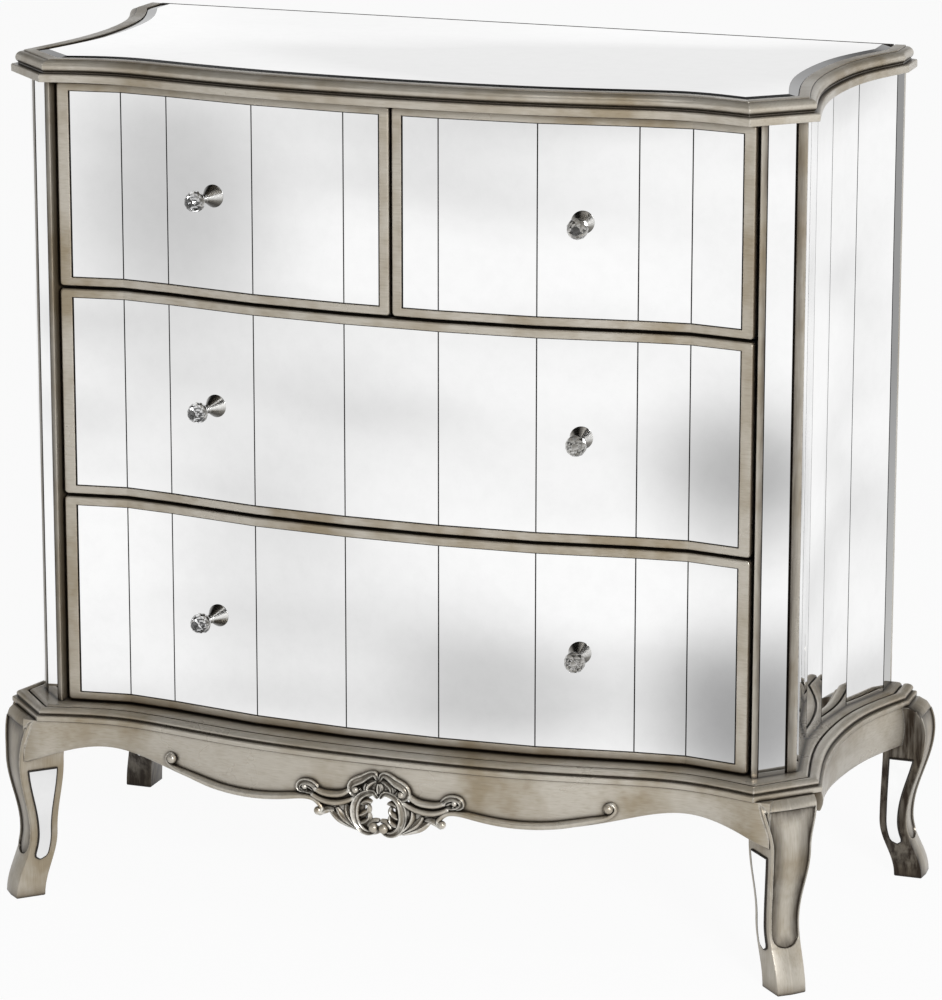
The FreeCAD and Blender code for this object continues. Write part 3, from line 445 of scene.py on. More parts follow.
def rear_strip_glass():
    """As the mirrors, but the rear strip has a painted dark reflection, darker towards its top."""
    paint = Paint("mirror_rear_strip")
    axes = paint.node("ShaderNodeSeparateXYZ")
    paint.link(paint.place, axes.inputs[0])
    strip_start = FRONT_LINE + SIDE_CORNERS[-1][1] + 0.5
    rear = paint.maths("GREATER_THAN", axes.outputs["Y"], strip_start * MM)
    painted_dark_climb = paint.ramp(axes.outputs["Z"], ((0.22, rgb(170, 170, 168)), (0.60, rgb(58, 58, 57))))
    return silvered(paint, paint.mix(rear, silvering_and_painted_reflections(paint), painted_dark_climb), 0.012)


def nickel():
    """Satin turned nickel with fine rings from the lathe, and a painted sheen, bright and dark round
    the axis.
    """
    paint = Paint("satin_nickel")
    ring = paint.noise(300.0, 2.0, 0.5, (1.0, 6.0, 1.0))
    tones = ((0.10, rgb(84, 81, 76)), (0.55, rgb(142, 139, 133)), (0.95, rgb(238, 237, 234)))
    painted_sheen = paint.ramp(paint.mesh_value("LatheSheen"), tones)
    colour = paint.tinted(painted_sheen, paint.ramp(ring, ((0.3, 0.80), (0.7, 1.0))))
    paint.bump(ring, 0.10, 0.0002)
    return paint.finish(colour, paint.ramp(ring, ((0.3, 0.28), (0.7, 0.16))), 1.0, Anisotropic=0.6)


def crystal_glass():
    """Clear cut crystal: facets painted dark and bright as painted light, and the faintest smears."""
    paint = Paint("cut_crystal")
    smear = paint.ramp(paint.noise(90.0, 3.0), ((0.45, 0.0), (0.80, 0.035)))
    depth = paint.ramp(paint.mesh_value("Facet"), ((0.12, 0.02), (0.30, 0.55), (0.62, 1.0)))
    return paint.finish(depth, smear, 0.0, Transmission_Weight=1.0, IOR=1.56)


def wood(name, dark, light, stretch, gloss):
    """Plain wood with long grain, pores and slight colour drift."""
    paint = Paint(name)
    grain = paint.noise(30.0, 8.0, 0.68, stretch, warp=0.6)
    drift = paint.ramp(paint.noise(3.0, 2.0), ((0.3, 0.72), (0.7, 1.0)))
    pores = paint.ramp(paint.noise(160.0, 2.0, 0.5, stretch), ((0.33, 0.62), (0.42, 1.0)))
    base = paint.ramp(grain, ((0.28, dark), (0.72, light)))
    base = paint.tinted(paint.tinted(base, drift, 0.6), pores)
    paint.bump(grain, 0.25, 0.0008)
    return paint.finish(base, paint.ramp(grain, ((0.3, gloss + 0.12), (0.7, gloss))), 0.0)


def mottled(name, scale, dark, light, rough, metal, bump):
    """A finish that drifts between two colours and two roughnesses."""
    paint = Paint(name)
    drift = paint.noise(*scale, 0.6)
    paint.bump(drift, *bump)
    base = paint.ramp(drift, ((0.3, dark), (0.7, light)))
    return paint.finish(base, paint.ramp(drift, ((0.3, rough[0]), (0.7, rough[1]))), metal)


ALONG_X = (0.5, 5.0, 6.0)
ALONG_Y = (5.0, 0.5, 6.0)
ALONG_Z = (6.0, 6.0, 0.5)
LEAF_X = silver_leaf("silver_leaf_rails", ALONG_X)
LEAF_Y = silver_leaf("silver_leaf_sides", ALONG_Y)
LEAF_Z = silver_leaf("silver_leaf_posts", ALONG_Z)
# The carving gets the full wear and painted highlight, on wider edges.
LEAF_CARVED = silver_leaf("silver_leaf_carved", (1.5, 1.5, 1.5), 1.0, 0.0034)
MIRROR = mirror_glass()
MIRROR_BEVEL = bevel_glass()
MIRROR_SIDE = rear_strip_glass()
NICKEL = nickel()
CRYSTAL = crystal_glass()
SCREW = mottled("screw_steel", (120.0, 4.0), rgb(120, 118, 112), rgb(176, 173, 166), (0.45, 0.3),
                1.0, (0.15, 0.0003))
BED = mottled("dark_bed", (50.0, 5.0), rgb(20, 17, 14), rgb(44, 37, 30), (0.75, 0.75),
              0.0, (0.2, 0.0005))
DARK_WOOD = wood("case_wood", rgb(52, 36, 24), rgb(96, 70, 47), ALONG_X, 0.6)
BACK_WOOD = wood("back_board", rgb(38, 31, 26), rgb(66, 55, 46), ALONG_Z, 0.7)
DRAWER_WOOD = wood("drawer_wood", rgb(150, 116, 78), rgb(196, 162, 118), (9.0, 0.6, 9.0), 0.42)


# ---- drawer fronts

FRAME_DEEP = 9.0
OUTER_ROUND = 2.6
INNER_ROUND = 0.7
OUTER_CORNER = 4.0
INNER_CORNER = 0.4
EVEN_EDGE = 3.0
STILE_OUTER = 13.1
STILE_INNER = 11.1
BOARD_BACK = FRONT_LINE + 24.0


def drawer_line(left, right):
    """Distances from the middle at which a front between two ends turns."""
    turns = [x for x, _ in FACETS[:-1]]
    both = [-x for x in reversed(turns)] + turns
    return [x for x in both if left < x < right]


def frame_loop(left, right, low, high, inset, radius):
    """Closed line round a front at an inset (x, z); corners are rounded."""
    x0, x1 = left + inset[0] + radius, right - inset[1] - radius
    z0, z1 = low + inset[2] + radius, high - inset[2] - radius
    turns = drawer_line(left, right)
    below = [(x, z0 - radius) for x in turns]
    above = [(x, z1 + radius) for x in reversed(turns)]
    lower = arc((x0, z0), radius, 180, 270, 6) + below + arc((x1, z0), radius, 270, 360, 6)
    return lower + arc((x1, z1), radius, 0, 90, 6) + above + arc((x0, z1), radius, 90, 180, 6)


def front_frame(left, right, low, high, stiles):
    """Rails and stiles as one rounded frame that follows the facets."""
    middle = (OUTER_ROUND, FRAME_PROUD - OUTER_ROUND)
    section = [(0.0, -FRAME_DEEP)] + arc(middle, OUTER_ROUND, 180, 90, 8)
    section += [(FRAME_WIDE - INNER_ROUND - 0.2, FRAME_PROUD)]
    middle = (FRAME_WIDE - INNER_ROUND, FRAME_PROUD - INNER_ROUND)
    section += arc(middle, INNER_ROUND, 80, 0, 4)
    section += [(FRAME_WIDE, -1.2), (FRAME_WIDE, -FRAME_DEEP)]
    rows = []
    for across, proud in section + section[:1]:
        share = across / FRAME_WIDE
        near_edge = min(across, EVEN_EDGE)
        beyond = (across - near_edge) / (FRAME_WIDE - EVEN_EDGE)
        inset = [near_edge + beyond * (stile - EVEN_EDGE) for stile in stiles] + [across]
        radius = INNER_CORNER + (OUTER_CORNER - INNER_CORNER) * (1 - share)
        loop = frame_loop(left, right, low, high, inset, radius)
        rows.append([(x, facet_y(x) - proud, z) for x, z in loop])
    made = Builder()
    made.grid(rows, around=True)
    return made


def front_board(left, right, low, high):
    """Board behind the mirrors: dark where it shows in their joints."""
    gap = 0.3
    line = [left + gap] + drawer_line(left, right) + [right - gap]
    front = [(x, facet_y(x) + MIRROR_THICK + 0.1) for x in line]
    outline = front + [(right - gap, BOARD_BACK), (left + gap, BOARD_BACK)]
    return Builder().prism(outline, low + gap, high - gap)


# ---- knobs

class KnobPlace:
    """Turns and moves a piece made about its own -Y onto a facet."""

    def __init__(self, side, high):
        self.side, self.high, self.turn = side, high, KNOB_TURN * side

    def put(self, radius, angle, out):
        """A point at a radius and angle round the axis, out from the facet."""
        across = radius * math.cos(angle)
        cos, sin = math.cos(self.turn), math.sin(self.turn)
        return (KNOB_X * self.side + across * cos + out * sin,
                FRONT_LINE + KNOB_OUT + across * sin - out * cos,
                self.high + radius * math.sin(angle))

    def ring(self, radius, out, count, start=0.0):
        step = 2 * math.pi / count
        return [self.put(radius, (i + start) * step, out) for i in range(count)]


def foot_profile():
    """Radius and distance out of the turned foot: flared bell, collar and neck."""
    line = [(12.3, -0.4), (12.5, 0.4), (12.5, 1.1), (12.2, 1.6)]
    for step in range(1, 17):
        share = step / 16
        line.append((3.9 + 8.3 * (1 - share) ** 0.95, 1.6 + 14.6 * share))
    line += [(4.6, 16.6), (4.8, 17.2), (4.8, 18.2), (4.6, 18.8), (3.6, 19.2)]
    line += [(3.3, 20.0), (3.3, 23.2), (4.6, 24.6), (6.2, 26.4), (6.5, 27.6)]
    return line


def knob_feet(places):
    """Turned feet; each point carries a painted sheen that goes bright and dark round the axis."""
    made = Builder()
    count = 48
    painted_sheen = [0.5 + 0.5 * math.cos(4 * math.pi * (i / count - 0.06)) for i in range(count)]
    for place in places:
        made.tube([place.ring(radius, out, count) for radius, out in foot_profile()])
    made.values["LatheSheen", "POINT"] = painted_sheen * (len(places) * len(foot_profile()))
    return made


def knob_crystals(places):
    """Cut crystals: table, crown, girdle and pavilion facets."""
    made = Builder()
    sizes = ((5.4, 27.4, 0.0), (9.2, 30.4, 0.5), (11.4, 34.6, 0.0), (11.5, 37.4, 0.5),
             (10.2, 42.3, 0.0), (7.9, 46.2, 0.5), (5.2, 49.2, 0.0))
    for place in places:
        rings = [made.row(place.ring(radius, out, 10, start)) for radius, out, start in sizes]
        for index, (one, other) in enumerate(zip(rings, rings[1:])):
            ahead = sizes[index + 1][2] > sizes[index][2]
            for i in range(10):
                a, b, c, d = one[i], one[(i + 1) % 10], other[(i + 1) % 10], other[i]
                made.faces += [(a, b, d), (b, c, d)] if ahead else [(a, c, d), (a, b, c)]
        made.faces.append(tuple(reversed(rings[0])))
        made.faces.append(tuple(rings[-1]))
    # Painted light: each face gets its own dark or bright value.
    made.values["Facet", "FACE"] = [(i * 7 % 11) / 10 for i in range(len(made.faces))]
    return made


# ---- drawers, one by one

DRAWERS = (
    ("drawer_left", -DRAWER_HALF, -1.3, 701.0, 926.5, (-1,)),
    ("drawer_right", 1.3, DRAWER_HALF, 701.0, 926.5, (1,)),
    ("drawer_middle", -DRAWER_HALF, DRAWER_HALF, 466.5, 698.0, (-1, 1)),
    ("drawer_lower", -DRAWER_HALF, DRAWER_HALF, 228.5, 463.5, (-1, 1)),
)

for label, left, right, low, high, sides in DRAWERS:
    stiles = [STILE_OUTER if abs(end) == DRAWER_HALF else STILE_INNER for end in (left, right)]
    frame_piece = front_frame(left, right, low, high, stiles)
    frame_obj = frame_piece.piece(label + "_frame", LEAF_X, label, "silver_leaf", sharp=11.5)
    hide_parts(label + "_front")
    front_board(left, right, low, high).piece(label + "_board", BED, label, "drawer_wood", sharp=5)
    places = [KnobPlace(side, (low + high) / 2) for side in sides]
    feet = knob_feet(places).piece(label + "_feet", NICKEL, label, "knob_metal", sharp=40)
    feet.visible_glossy = False
    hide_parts(label + "_knobs")
    balls = knob_crystals(places).piece(label + "_balls", CRYSTAL, label, "crystal", flat=True)
    balls.visible_glossy = False
    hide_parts(label + "_crystals")


# ---- canted posts

CANT_LONG = math.dist(POST_FRONT, POST_SIDE)
CANT_WAY = (Vector(POST_SIDE) - Vector(POST_FRONT)).normalized()
POST_STRIPS = (12.4, CANT_LONG - 13.6)


def cant_point(along, inward=0.0):
    """A point on the right canted face, from its front arris."""
    across, back = CANT_WAY
    return (POST_FRONT[0] + across * along - back * inward,
            POST_FRONT[1] + back * along + across * inward)


def rounded(corners, radii, steps=5):
    """An outline with each corner rounded by its own radius."""
    found = []
    count = len(corners)
    for i, (corner, radius) in enumerate(zip(corners, radii)):
        here = Vector(corner)
        before = (Vector(corners[i - 1]) - here).normalized()
        after = (Vector(corners[(i + 1) % count]) - here).normalized()
        if radius <= 0:
            found.append(tuple(here))
            continue
        half = before.angle(after) / 2
        reach = radius / math.tan(half)
        start = here + before * reach
        end = here + after * reach
        middle = here + (before + after).normalized() * (radius / math.sin(half))
        for step in range(steps + 1):
            share = step / steps
            blend = (start - middle).slerp(end - middle, share)
            found.append(tuple(middle + blend))
    return found


POST_BACK = FRONT_LINE + 60.0
PANEL_FACE = 431.0


def post_outline():
    """The right post from above: strips beside the sunk mirror, rounded at the arrises."""
    first, last = POST_STRIPS
    glass = MIRROR_THICK
    corners = [POST_FRONT, cant_point(first), cant_point(first, glass), cant_point(last, glass),
               cant_point(last), POST_SIDE, (PANEL_FACE, POST_BACK),
               (PANEL_FACE - glass, POST_BACK), (POST_FRONT[0], POST_BACK)]
    return rounded(corners, (2.6, 1.0, 0.0, 0.0, 1.0, 2.6, 0.0, 0.0, 0.0))


def post_glaze_and_shade(outline):
    """More glaze and painted shade on the strips the nearer they come to the mirror."""
    found = []
    for point in outline:
        along = (Vector(point) - Vector(POST_FRONT)).dot(CANT_WAY)
        near = min(abs(along - edge) for edge in POST_STRIPS)
        found.append(max(0.2, 0.95 - near / 9.0))
    return found


for side, word in SIDES:
    outline = post_outline()
    made = Builder().prism(flip(outline, side), FLOOR_UNDER + BASE_HIGH, CASE_TOP)
    made.values["GlazeLine", "POINT"] = post_glaze_and_shade(outline) * 2
    post = made.piece("post_" + word, LEAF_Z, sharp=24)
    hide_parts("front_post_" + word)


# ---- top and base rims

class Rim:
    """Plan line of a moulding round the front and the sides, at any inset."""

    def __init__(self, front_over, side_over, front_end, side_end, mitre, cant):
        self.front_over, self.side_over = front_over, side_over
        self.front_end, self.side_end = front_end, side_end
        self.mitre, self.cant = mitre, cant

    def corner(self, inset):
        return (self.front_end[0] + inset * self.mitre, self.front_end[1] + inset)

    def front(self, inset, steps=72):
        """Smooth front edge from the left corner to the right one."""
        half = [(x, FRONT_LINE + out - self.front_over + inset) for x, out in FACETS[:-1]]
        half.append(self.corner(inset))
        return spline(flip(reversed(half)) + half, steps)

    def side(self, inset, steps=24):
        """Right side from the front corner round to the back."""
        points = [(self.side_end[0] - inset, self.side_end[1] + inset * self.cant)]
        points += [(x + self.side_over - inset, FRONT_LINE + back) for x, back in SIDE_CORNERS]
        rear = (REAR_CORNER[0] + self.side_over - inset, FRONT_LINE + REAR_CORNER[1])
        return [self.corner(inset)] + spline(points, steps) + [rear]


TOP = Rim(36.0, 12.5, (397.5, FRONT_LINE - 40.0), (456.0, FRONT_LINE + 16.0), -0.43, 0.397)
BASE = Rim(38.0, 30.0, (414.0, FRONT_LINE - 45.5), (472.5, FRONT_LINE + 15.0), -0.221, 0.397)
TOP_WIDE = 26.0
BASE_WIDE = 24.0


def moulding(line_at, section, low, side=1):
    """Run of a moulding along a plan line, from a closed section of inset and height."""
    rows = [[(x, y, low + high) for x, y in line_at(inset)] for inset, high in section]
    return Builder().bar([flip(row, side) for row in rows])


def top_section():
    """Closed section of the top moulding, inset and height."""
    line = [(TOP_WIDE, 0.0), (1.2, 0.0)]
    line += arc((1.2, 1.2), 1.2, 270, 180, 4)
    line += arc((1.8, 7.0), 1.8, 180, 90, 5)
    line += [(5.6, 9.0), (6.9, 9.3), (7.2, 10.4)]
    line += oval((12.6, 15.6), (8.2, 7.0), 216, 91, 10)
    line += [(13.2, 22.2), (13.4, 23.2)]
    line += arc((14.2, 23.1), 0.8, 170, 90, 3)
    line += [(TOP_WIDE - 0.6, 23.7), (TOP_WIDE, 23.2)]
    return line


def base_section():
    """Closed section of the base moulding, inset and height."""
    line = [(BASE_WIDE, 0.0), (0.9, 0.0)]
    line += arc((0.9, 0.9), 0.9, 270, 180, 3)
    line += arc((1.5, 4.5), 1.5, 180, 90, 4)
    line += [(4.2, 6.0), (5.2, 6.2)]
    line += oval((11.2, 9.0), (6.8, 4.4), 208, 50, 12)
    line += [(16.4, 10.2), (17.4, 10.0), (18.4, 12.4), (20.2, 13.6), (BASE_WIDE, BASE_HIGH)]
    return line


for kind, rim, section, low in (("top", TOP, top_section(), CASE_TOP),
                                ("base", BASE, base_section(), FLOOR_UNDER)):
    front_run = moulding(rim.front, section, low).piece(kind + "_moulding_front", LEAF_X, sharp=15)
    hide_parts(kind + "_moulding")
    for side, word in SIDES:
        moulding(rim.side, section, low, side).piece(kind + "_moulding_" + word, LEAF_Y, sharp=15)


SHELF_HALF = POST_FRONT[0]


def base_shelf():
    """Flat top of the base behind the moulding, under the drawers."""
    back = BOARD_BACK + 0.5
    outline = [(max(-SHELF_HALF, min(SHELF_HALF, x)), y) for x, y in BASE.front(BASE_WIDE)]
    outline += [(SHELF_HALF, back), (-SHELF_HALF, back)]
    return Builder().prism(outline, FLOOR_UNDER, FLOOR_UNDER + BASE_HIGH - 0.1)


def side_shelf(side):
    """The same under the side panels."""
    line = BASE.side(BASE_WIDE)
    outline = line + [(SHELF_HALF, BACK_LINE), (SHELF_HALF, line[0][1])]
    return Builder().prism(flip(outline, side), FLOOR_UNDER, FLOOR_UNDER + BASE_HIGH - 0.05)


base_shelf().piece("base_shelf_front", LEAF_X)
for side, word in SIDES:
    side_shelf(side).piece("base_shelf_" + word, LEAF_Y)


BEVEL_WIDE = 11.5
EDGING = 5.0
SHEET_EDGE = TOP_WIDE + 1.1
SHEET_LOW = CASE_TOP + 19.4
SHEET_THICK = 4.6
SHEET_TOP = SHEET_LOW + SHEET_THICK


def top_line(inset):
    """The free edge of the top sheet at an inset, from the left rear round to the right rear."""
    right = TOP.side(inset)
    right[-1] = (right[-1][0], BACK_LINE - EDGING)
    return flip(reversed(right)) + TOP.front(inset)[1:-1] + right


def top_glass():
    """Flat middle of the top sheet."""
    return Builder().prism(top_line(SHEET_EDGE + BEVEL_WIDE), SHEET_LOW, SHEET_TOP)


def top_bevel():
    """Ground bevel round the sheet."""
    inner = SHEET_EDGE + BEVEL_WIDE - 0.2
    section = ((SHEET_EDGE, 0.0), (SHEET_EDGE, 2.9), (inner, SHEET_THICK - 0.05), (inner, 0.0))
    return moulding(top_line, section, SHEET_LOW)


def top_edging():
    """Dark edging along the back of the top sheet."""
    half = TOP.side(TOP_WIDE)[-1][0] - 1.0
    front = BACK_LINE - EDGING + 0.3
    outline = [(-half, front), (half, front), (half, BACK_LINE), (-half, BACK_LINE)]
    return Builder().prism(outline, SHEET_LOW, SHEET_TOP)


glass = top_glass().piece("top_glass", MIRROR, slot="mirror", sharp=3)
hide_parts("top_mirror")
top_bevel().piece("top_bevel", MIRROR_BEVEL, slot="mirror", sharp=8)
top_edging().piece("top_edging", BED, sharp=30)


# ---- aprons

APRON_HALF = ((0.0, 178.0), (30.0, 178.0), (104.0, 162.5), (168.0, 157.5),
              (252.0, 170.5), (338.0, 187.0), (431.7, 163.0))
APRON_BEND = 421.0
APRON_END = APRON_HALF[-1][0]
APRON_THICK = 20.0
APRON_TOP = FLOOR_UNDER + 0.2
APRON_INSET = 2.6
APRON_LINE = BASE.front(APRON_INSET)
FRONT_SWELL = 2.6
SIDE_SWELL = 1.4


def belly(share):
    """How far the apron's face stands out between its top (0) and lower edge (1)."""
    return FRONT_SWELL * math.sin(math.pi * (0.12 + 0.80 * share))


def apron_rows(line, edge_at, inwards):
    """Rows along an apron: down its face, round its lower edge and up its back."""
    rows = []
    for level in range(11):
        share = level / 10
        row = []
        for x, y in line:
            z = APRON_TOP + (edge_at(x, y) - FLOOR_UNDER) * share
            row.append(inwards(x, y, -belly(share)) + (z,))
        rows.append(row)
    last = rows[-1]
    for depth, drop in ((1.2, 1.0), (APRON_THICK, 0.6)):
        rows.append([inwards(x, y, depth) + (z - drop,) for x, y, z in last])
    rows.append([inwards(x, y, APRON_THICK) + (APRON_TOP,) for x, y, _ in last])
    return rows


def front_apron():
    xs, zs = np.array(spline(flip(reversed(APRON_HALF[1:])) + list(APRON_HALF), 240)).T
    line = spline(APRON_LINE, 150)
    corner = line[-1][1]
    wing = [(APRON_BEND, corner), (APRON_END, corner + 0.5)]
    line = flip(reversed(wing)) + line + wing
    rows = apron_rows(line, lambda x, y: float(np.interp(x, xs, zs)),
                      lambda x, y, depth: (x, y + depth))
    return Builder().bar(rows)


def side_inwards(x, y, depth):
    """A point of the right side moved inwards; outwards it moves SIDE_SWELL times as far."""
    return (x - (depth if depth > 0 else depth * SIDE_SWELL), y)


def side_apron(side):
    line = BASE.side(APRON_INSET)[1:]
    lows = ((line[0][1], 192.0), (FRONT_LINE + 203.0, 171.5), (BACK_LINE, 169.0))
    ys, zs = np.array(spline(lows, 40)).T
    rows = apron_rows(line, lambda x, y: float(np.interp(y, ys, zs)), side_inwards)
    return Builder().bar([flip(row, side) for row in rows])


apron = front_apron().piece("front_apron", LEAF_X, sharp=40)
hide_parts("apron_front")
for side, word in SIDES:
    apron = side_apron(side).piece("side_apron_" + word, LEAF_Y, sharp=40)
    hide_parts("apron_" + word)


# ---- legs

class Leg:
    """A cabriole leg whose place and size change with height."""

    ROUND = 12
    ACROSS = (-1.0, -0.8, -0.6, -0.3, 0.0, 0.3, 0.6, 0.8, 1.0)
    EDGE = 2.4
    PANEL = (48.0, 203.0, 12.0)
    PANEL_MARGIN = 4.8
    PANEL_DEEP = 2.2
    # Painted shade on the inner sides of a rear leg, under the case.
    HIDDEN_SHADE = 1.0

    def __init__(self, root, direction, stations, side):
        self.root, self.turn = root, math.radians(direction)
        self.stations, self.side = stations, side

    def at(self, height):
        """Outward reach, width, depth and shift across at a height."""
        for upper, lower in zip(self.stations, self.stations[1:]):
            if height >= lower[0]:
                break
        part = (upper[0] - height) / (upper[0] - lower[0])
        share = ease(part)
        sizes = [a + (b - a) * share for a, b in zip(upper[1:], lower[1:])]
        if upper is self.stations[0]:
            swell = math.sqrt(1 - (1 - min(max(part, 0.0), 1.0)) ** 2)
            sizes[0] = upper[1] + (lower[1] - upper[1]) * swell
        return sizes

    def point(self, outward, across, height):
        x = self.root[0] + outward * math.cos(self.turn) - across * math.sin(self.turn)
        y = self.root[1] + outward * math.sin(self.turn) + across * math.cos(self.turn)
        return (x * self.side, y, height)

    def body(self, heights):
        """Closed rows of the leg: rounded long edges and a sunk panel in its face."""
        rows = []
        for height in heights:
            reach, wide, deep, shift = self.at(height)
            half = wide / 2
            corners = [(reach - deep, half), (reach - deep, -half), (reach, -half), (reach, half)]
            outline = rounded(corners, [self.EDGE] * 4, 3)
            panel, sunk = self.panel(height, half)
            inner = [(reach - sunk * (1.0 - 0.35 * (1 - s * s)), s * panel) for s in self.ACROSS]
            face = [(reach, -panel - 1.0)] + inner + [(reach, panel + 1.0)]
            outline = outline[:self.ROUND] + face + outline[self.ROUND:]
            rows.append([self.point(u, v + shift, height) for u, v in outline])
        return rows

    def panel(self, height, half):
        """Half width and depth of the sunk panel of the outer face."""
        low, high, bend = self.PANEL
        if height < low or height > high:
            return 0.5, 0.0
        share = min(1.0, (height - low) / bend)
        wide = (half - self.PANEL_MARGIN) * math.sqrt(1 - (1 - share) ** 2)
        return max(0.6, wide), self.PANEL_DEEP

    def glaze_and_shade(self, heights):
        """Glaze and painted shade on each point: glaze with painted shade round the sunk panel's
        edge, and painted shade on the inner sides of a rear leg.
        """
        low, high, _ = self.PANEL
        hidden_shade = self.HIDDEN_SHADE if self.turn == 0.0 else 0.0
        found = []
        for height in heights:
            # Glaze with painted shade at the panel's ends and sides.
            along = min(height - low, high - height)
            ends = 0.0 if along < 0 else max(0.0, 0.9 - along / 20.0)
            row = [hidden_shade] * self.ROUND + [0.15]
            for s in self.ACROSS:
                edge = max(0.0, (abs(s) - 0.22) / 0.78) ** 0.85
                row.append(max(edge, ends, 0.06) if along >= 0 else 0.0)
            found += row + [0.15] + [0.0] * (16 - self.ROUND)
        return found


# Height, outward reach, width, depth and shift across.
FRONT_STATIONS = ((213.0, 6.0, 70.0, 54.0, 0.0), (160.0, 18.6, 51.0, 54.0, 0.0),
                  (75.0, 5.7, 39.5, 34.0, 0.0), (0.0, 24.5, 37.0, 37.0, 0.0))
REAR_STATIONS = ((213.0, 486.0, 52.0, 50.0, 190.0), (180.0, 504.0, 51.0, 50.0, 191.0),
                 (75.0, 481.0, 38.0, 33.0, 198.0), (0.0, 496.0, 38.0, 35.0, 219.85))


SOLE = 0.96


def leg_heights():
    """Levels of a leg, closer together at the ends of its sunk panel."""
    low, high, _ = Leg.PANEL
    heights = [0.0, 0.8, high - 0.1, high + 0.1]
    heights += [low + step for step in (-0.1, 0.05, 0.6, 1.6, 3.0)]
    heights += [2.0 + (FLOOR_UNDER - 2.0) * i / 52 for i in range(53)]
    return sorted(heights)


def leg_body(leg):
    """The leg, with its lowest ring drawn in to the sole."""
    made = Builder()
    rows = leg.body(leg_heights())
    centre = [sum(v) / len(rows[0]) for v in zip(*rows[0])]
    rows[0] = [tuple(c + (p - c) * SOLE for p, c in zip(point, centre[:2])) + (point[2],)
               for point in rows[0]]
    made.tube(rows)
    made.values["GlazeLine", "POINT"] = leg.glaze_and_shade(leg_heights())
    return made


INSET_MARGIN = 10.5
INSET_LOW = 45.0
INSET_HIGH = 150.0
INSET_BEND = 7.0


def inset_rows(leg, flank, lift, grow):
    """Grid of a plate on a flank, tapering with the leg to a rounded lower end."""
    rows = []
    for step in range(33):
        share = step / 32
        height = INSET_HIGH + grow - (INSET_HIGH - INSET_LOW + 2 * grow) * share ** 0.8
        reach, wide, deep, shift = leg.at(height)
        half = deep / 2 - INSET_MARGIN + grow
        bottom = (height - INSET_LOW + grow) / (INSET_BEND + grow)
        if bottom < 1:
            half *= max(0.12, math.sqrt(max(0.0, 1 - (1 - bottom) ** 2)))
        middle = reach - deep / 2
        across = flank * (wide / 2 + lift) + shift
        rows.append([leg.point(middle + half * (spot / 2 - 1), across, height) for spot in range(5)])
    return rows


def plate(made, outer, inner):
    """Thin closed plate between two grids of the same size."""
    made.grid(outer)
    made.grid(inner)
    made.grid([edge_of(outer), edge_of(inner)], around=True)


def edge_of(rows):
    """The points round a grid."""
    loop = list(rows[0])
    loop += [row[-1] for row in rows[1:]]
    loop += list(reversed(rows[-1]))[1:]
    loop += [row[0] for row in reversed(rows[1:-1])]
    return loop


def leg_plates(leg, flanks, outer, inner, grow):
    """Plates on the flanks between two distances from them."""
    made = Builder()
    for flank in flanks:
        plate(made, inset_rows(leg, flank, outer, grow), inset_rows(leg, flank, inner, grow))
    return made


def leg_glass(leg, flanks):
    """Mirror plates and the dark beds that show round them."""
    return leg_plates(leg, flanks, 0.35, -2.0, 0.0), leg_plates(leg, flanks, 0.12, -2.4, 1.3)


for side, word in SIDES:
    front_leg = Leg((440.0, FRONT_LINE - 16.0), -45.0, FRONT_STATIONS, side)
    rear_leg = Leg((0.0, 0.0), 0.0, REAR_STATIONS, side)
    legs = (("front", front_leg, (-1, 1)), ("rear", rear_leg, (-1,)))
    for end, leg, _ in legs:
        body = leg_body(leg).piece("%s_leg_%s" % (end, word), LEAF_Z, sharp=28)
        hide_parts("leg_%s_%s" % (end, word))
    for end, leg, flanks in legs:
        glass, bed = leg_glass(leg, flanks)
        shown = glass.piece("%s_leg_glass_%s" % (end, word), MIRROR, slot="mirror", sharp=30)
        bed.piece("%s_leg_bed_%s" % (end, word), BED, sharp=30)
        if side > 0 and leg is front_leg:
            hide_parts("leg_mirrors")


# ---- carving

FACE_OUT = 2.2
ROOT = 3.0
TAPER = 0.04
# Sections of the carved lines: share of the half width and share of the height.
BEAD = tuple((math.cos(math.pi * i / 8), math.sin(math.pi * i / 8)) for i in range(9))
BAND = ((1.0, 0.0), (0.97, 0.45), (0.82, 0.78), (0.62, 0.86), (0.42, 0.60), (0.20, 0.34),
        (-0.10, 0.26), (-0.40, 0.36), (-0.62, 0.62), (-0.80, 0.66), (-0.96, 0.40), (-1.0, 0.0))
LEAF = ((1.0, 0.0), (0.85, 0.34), (0.55, 0.62), (0.22, 0.92), (0.0, 1.0), (-0.16, 0.72),
        (-0.45, 0.40), (-0.80, 0.26), (-1.0, 0.0))


def apron_face(x):
    """Y of the apron's face behind the carving."""
    xs, ys = zip(*APRON_LINE)
    return float(np.interp(x, xs, ys)) - FACE_OUT


def stroke(made, points, widths, out, high, section, steps):
    """A carved line of x and z on the apron: its section swells and tapers."""
    line = spline(points, steps)
    sizes = spline(list(enumerate(widths)), steps)
    rows = []
    for i, (x, z) in enumerate(line):
        one = line[max(i - 1, 0)]
        other = line[min(i + 1, steps)]
        along = Vector((other[0] - one[0], 0.0, other[1] - one[1])).normalized()
        across = Vector((along.z, 0.0, -along.x))
        half = max(sizes[i][1] / 2, 0.3)
        share = i / steps
        near_end = max(0.0, 1 - min(share, 1 - share) / TAPER)
        half *= max(math.sqrt(max(0.0, 1 - near_end ** 2)), 0.3)
        base = Vector((x, apron_face(x) - out, z))
        tall = high * (0.45 + 0.55 * half * 2 / max(widths))
        ring = [base + across * (half * s) + Vector((0.0, -tall * t, 0.0)) for s, t in section]
        ring += [base + across * (half * s) + Vector((0.0, ROOT, 0.0)) for s in (-0.9, 0.9)]
        rows.append([tuple(p) for p in ring])
    made.tube(rows)


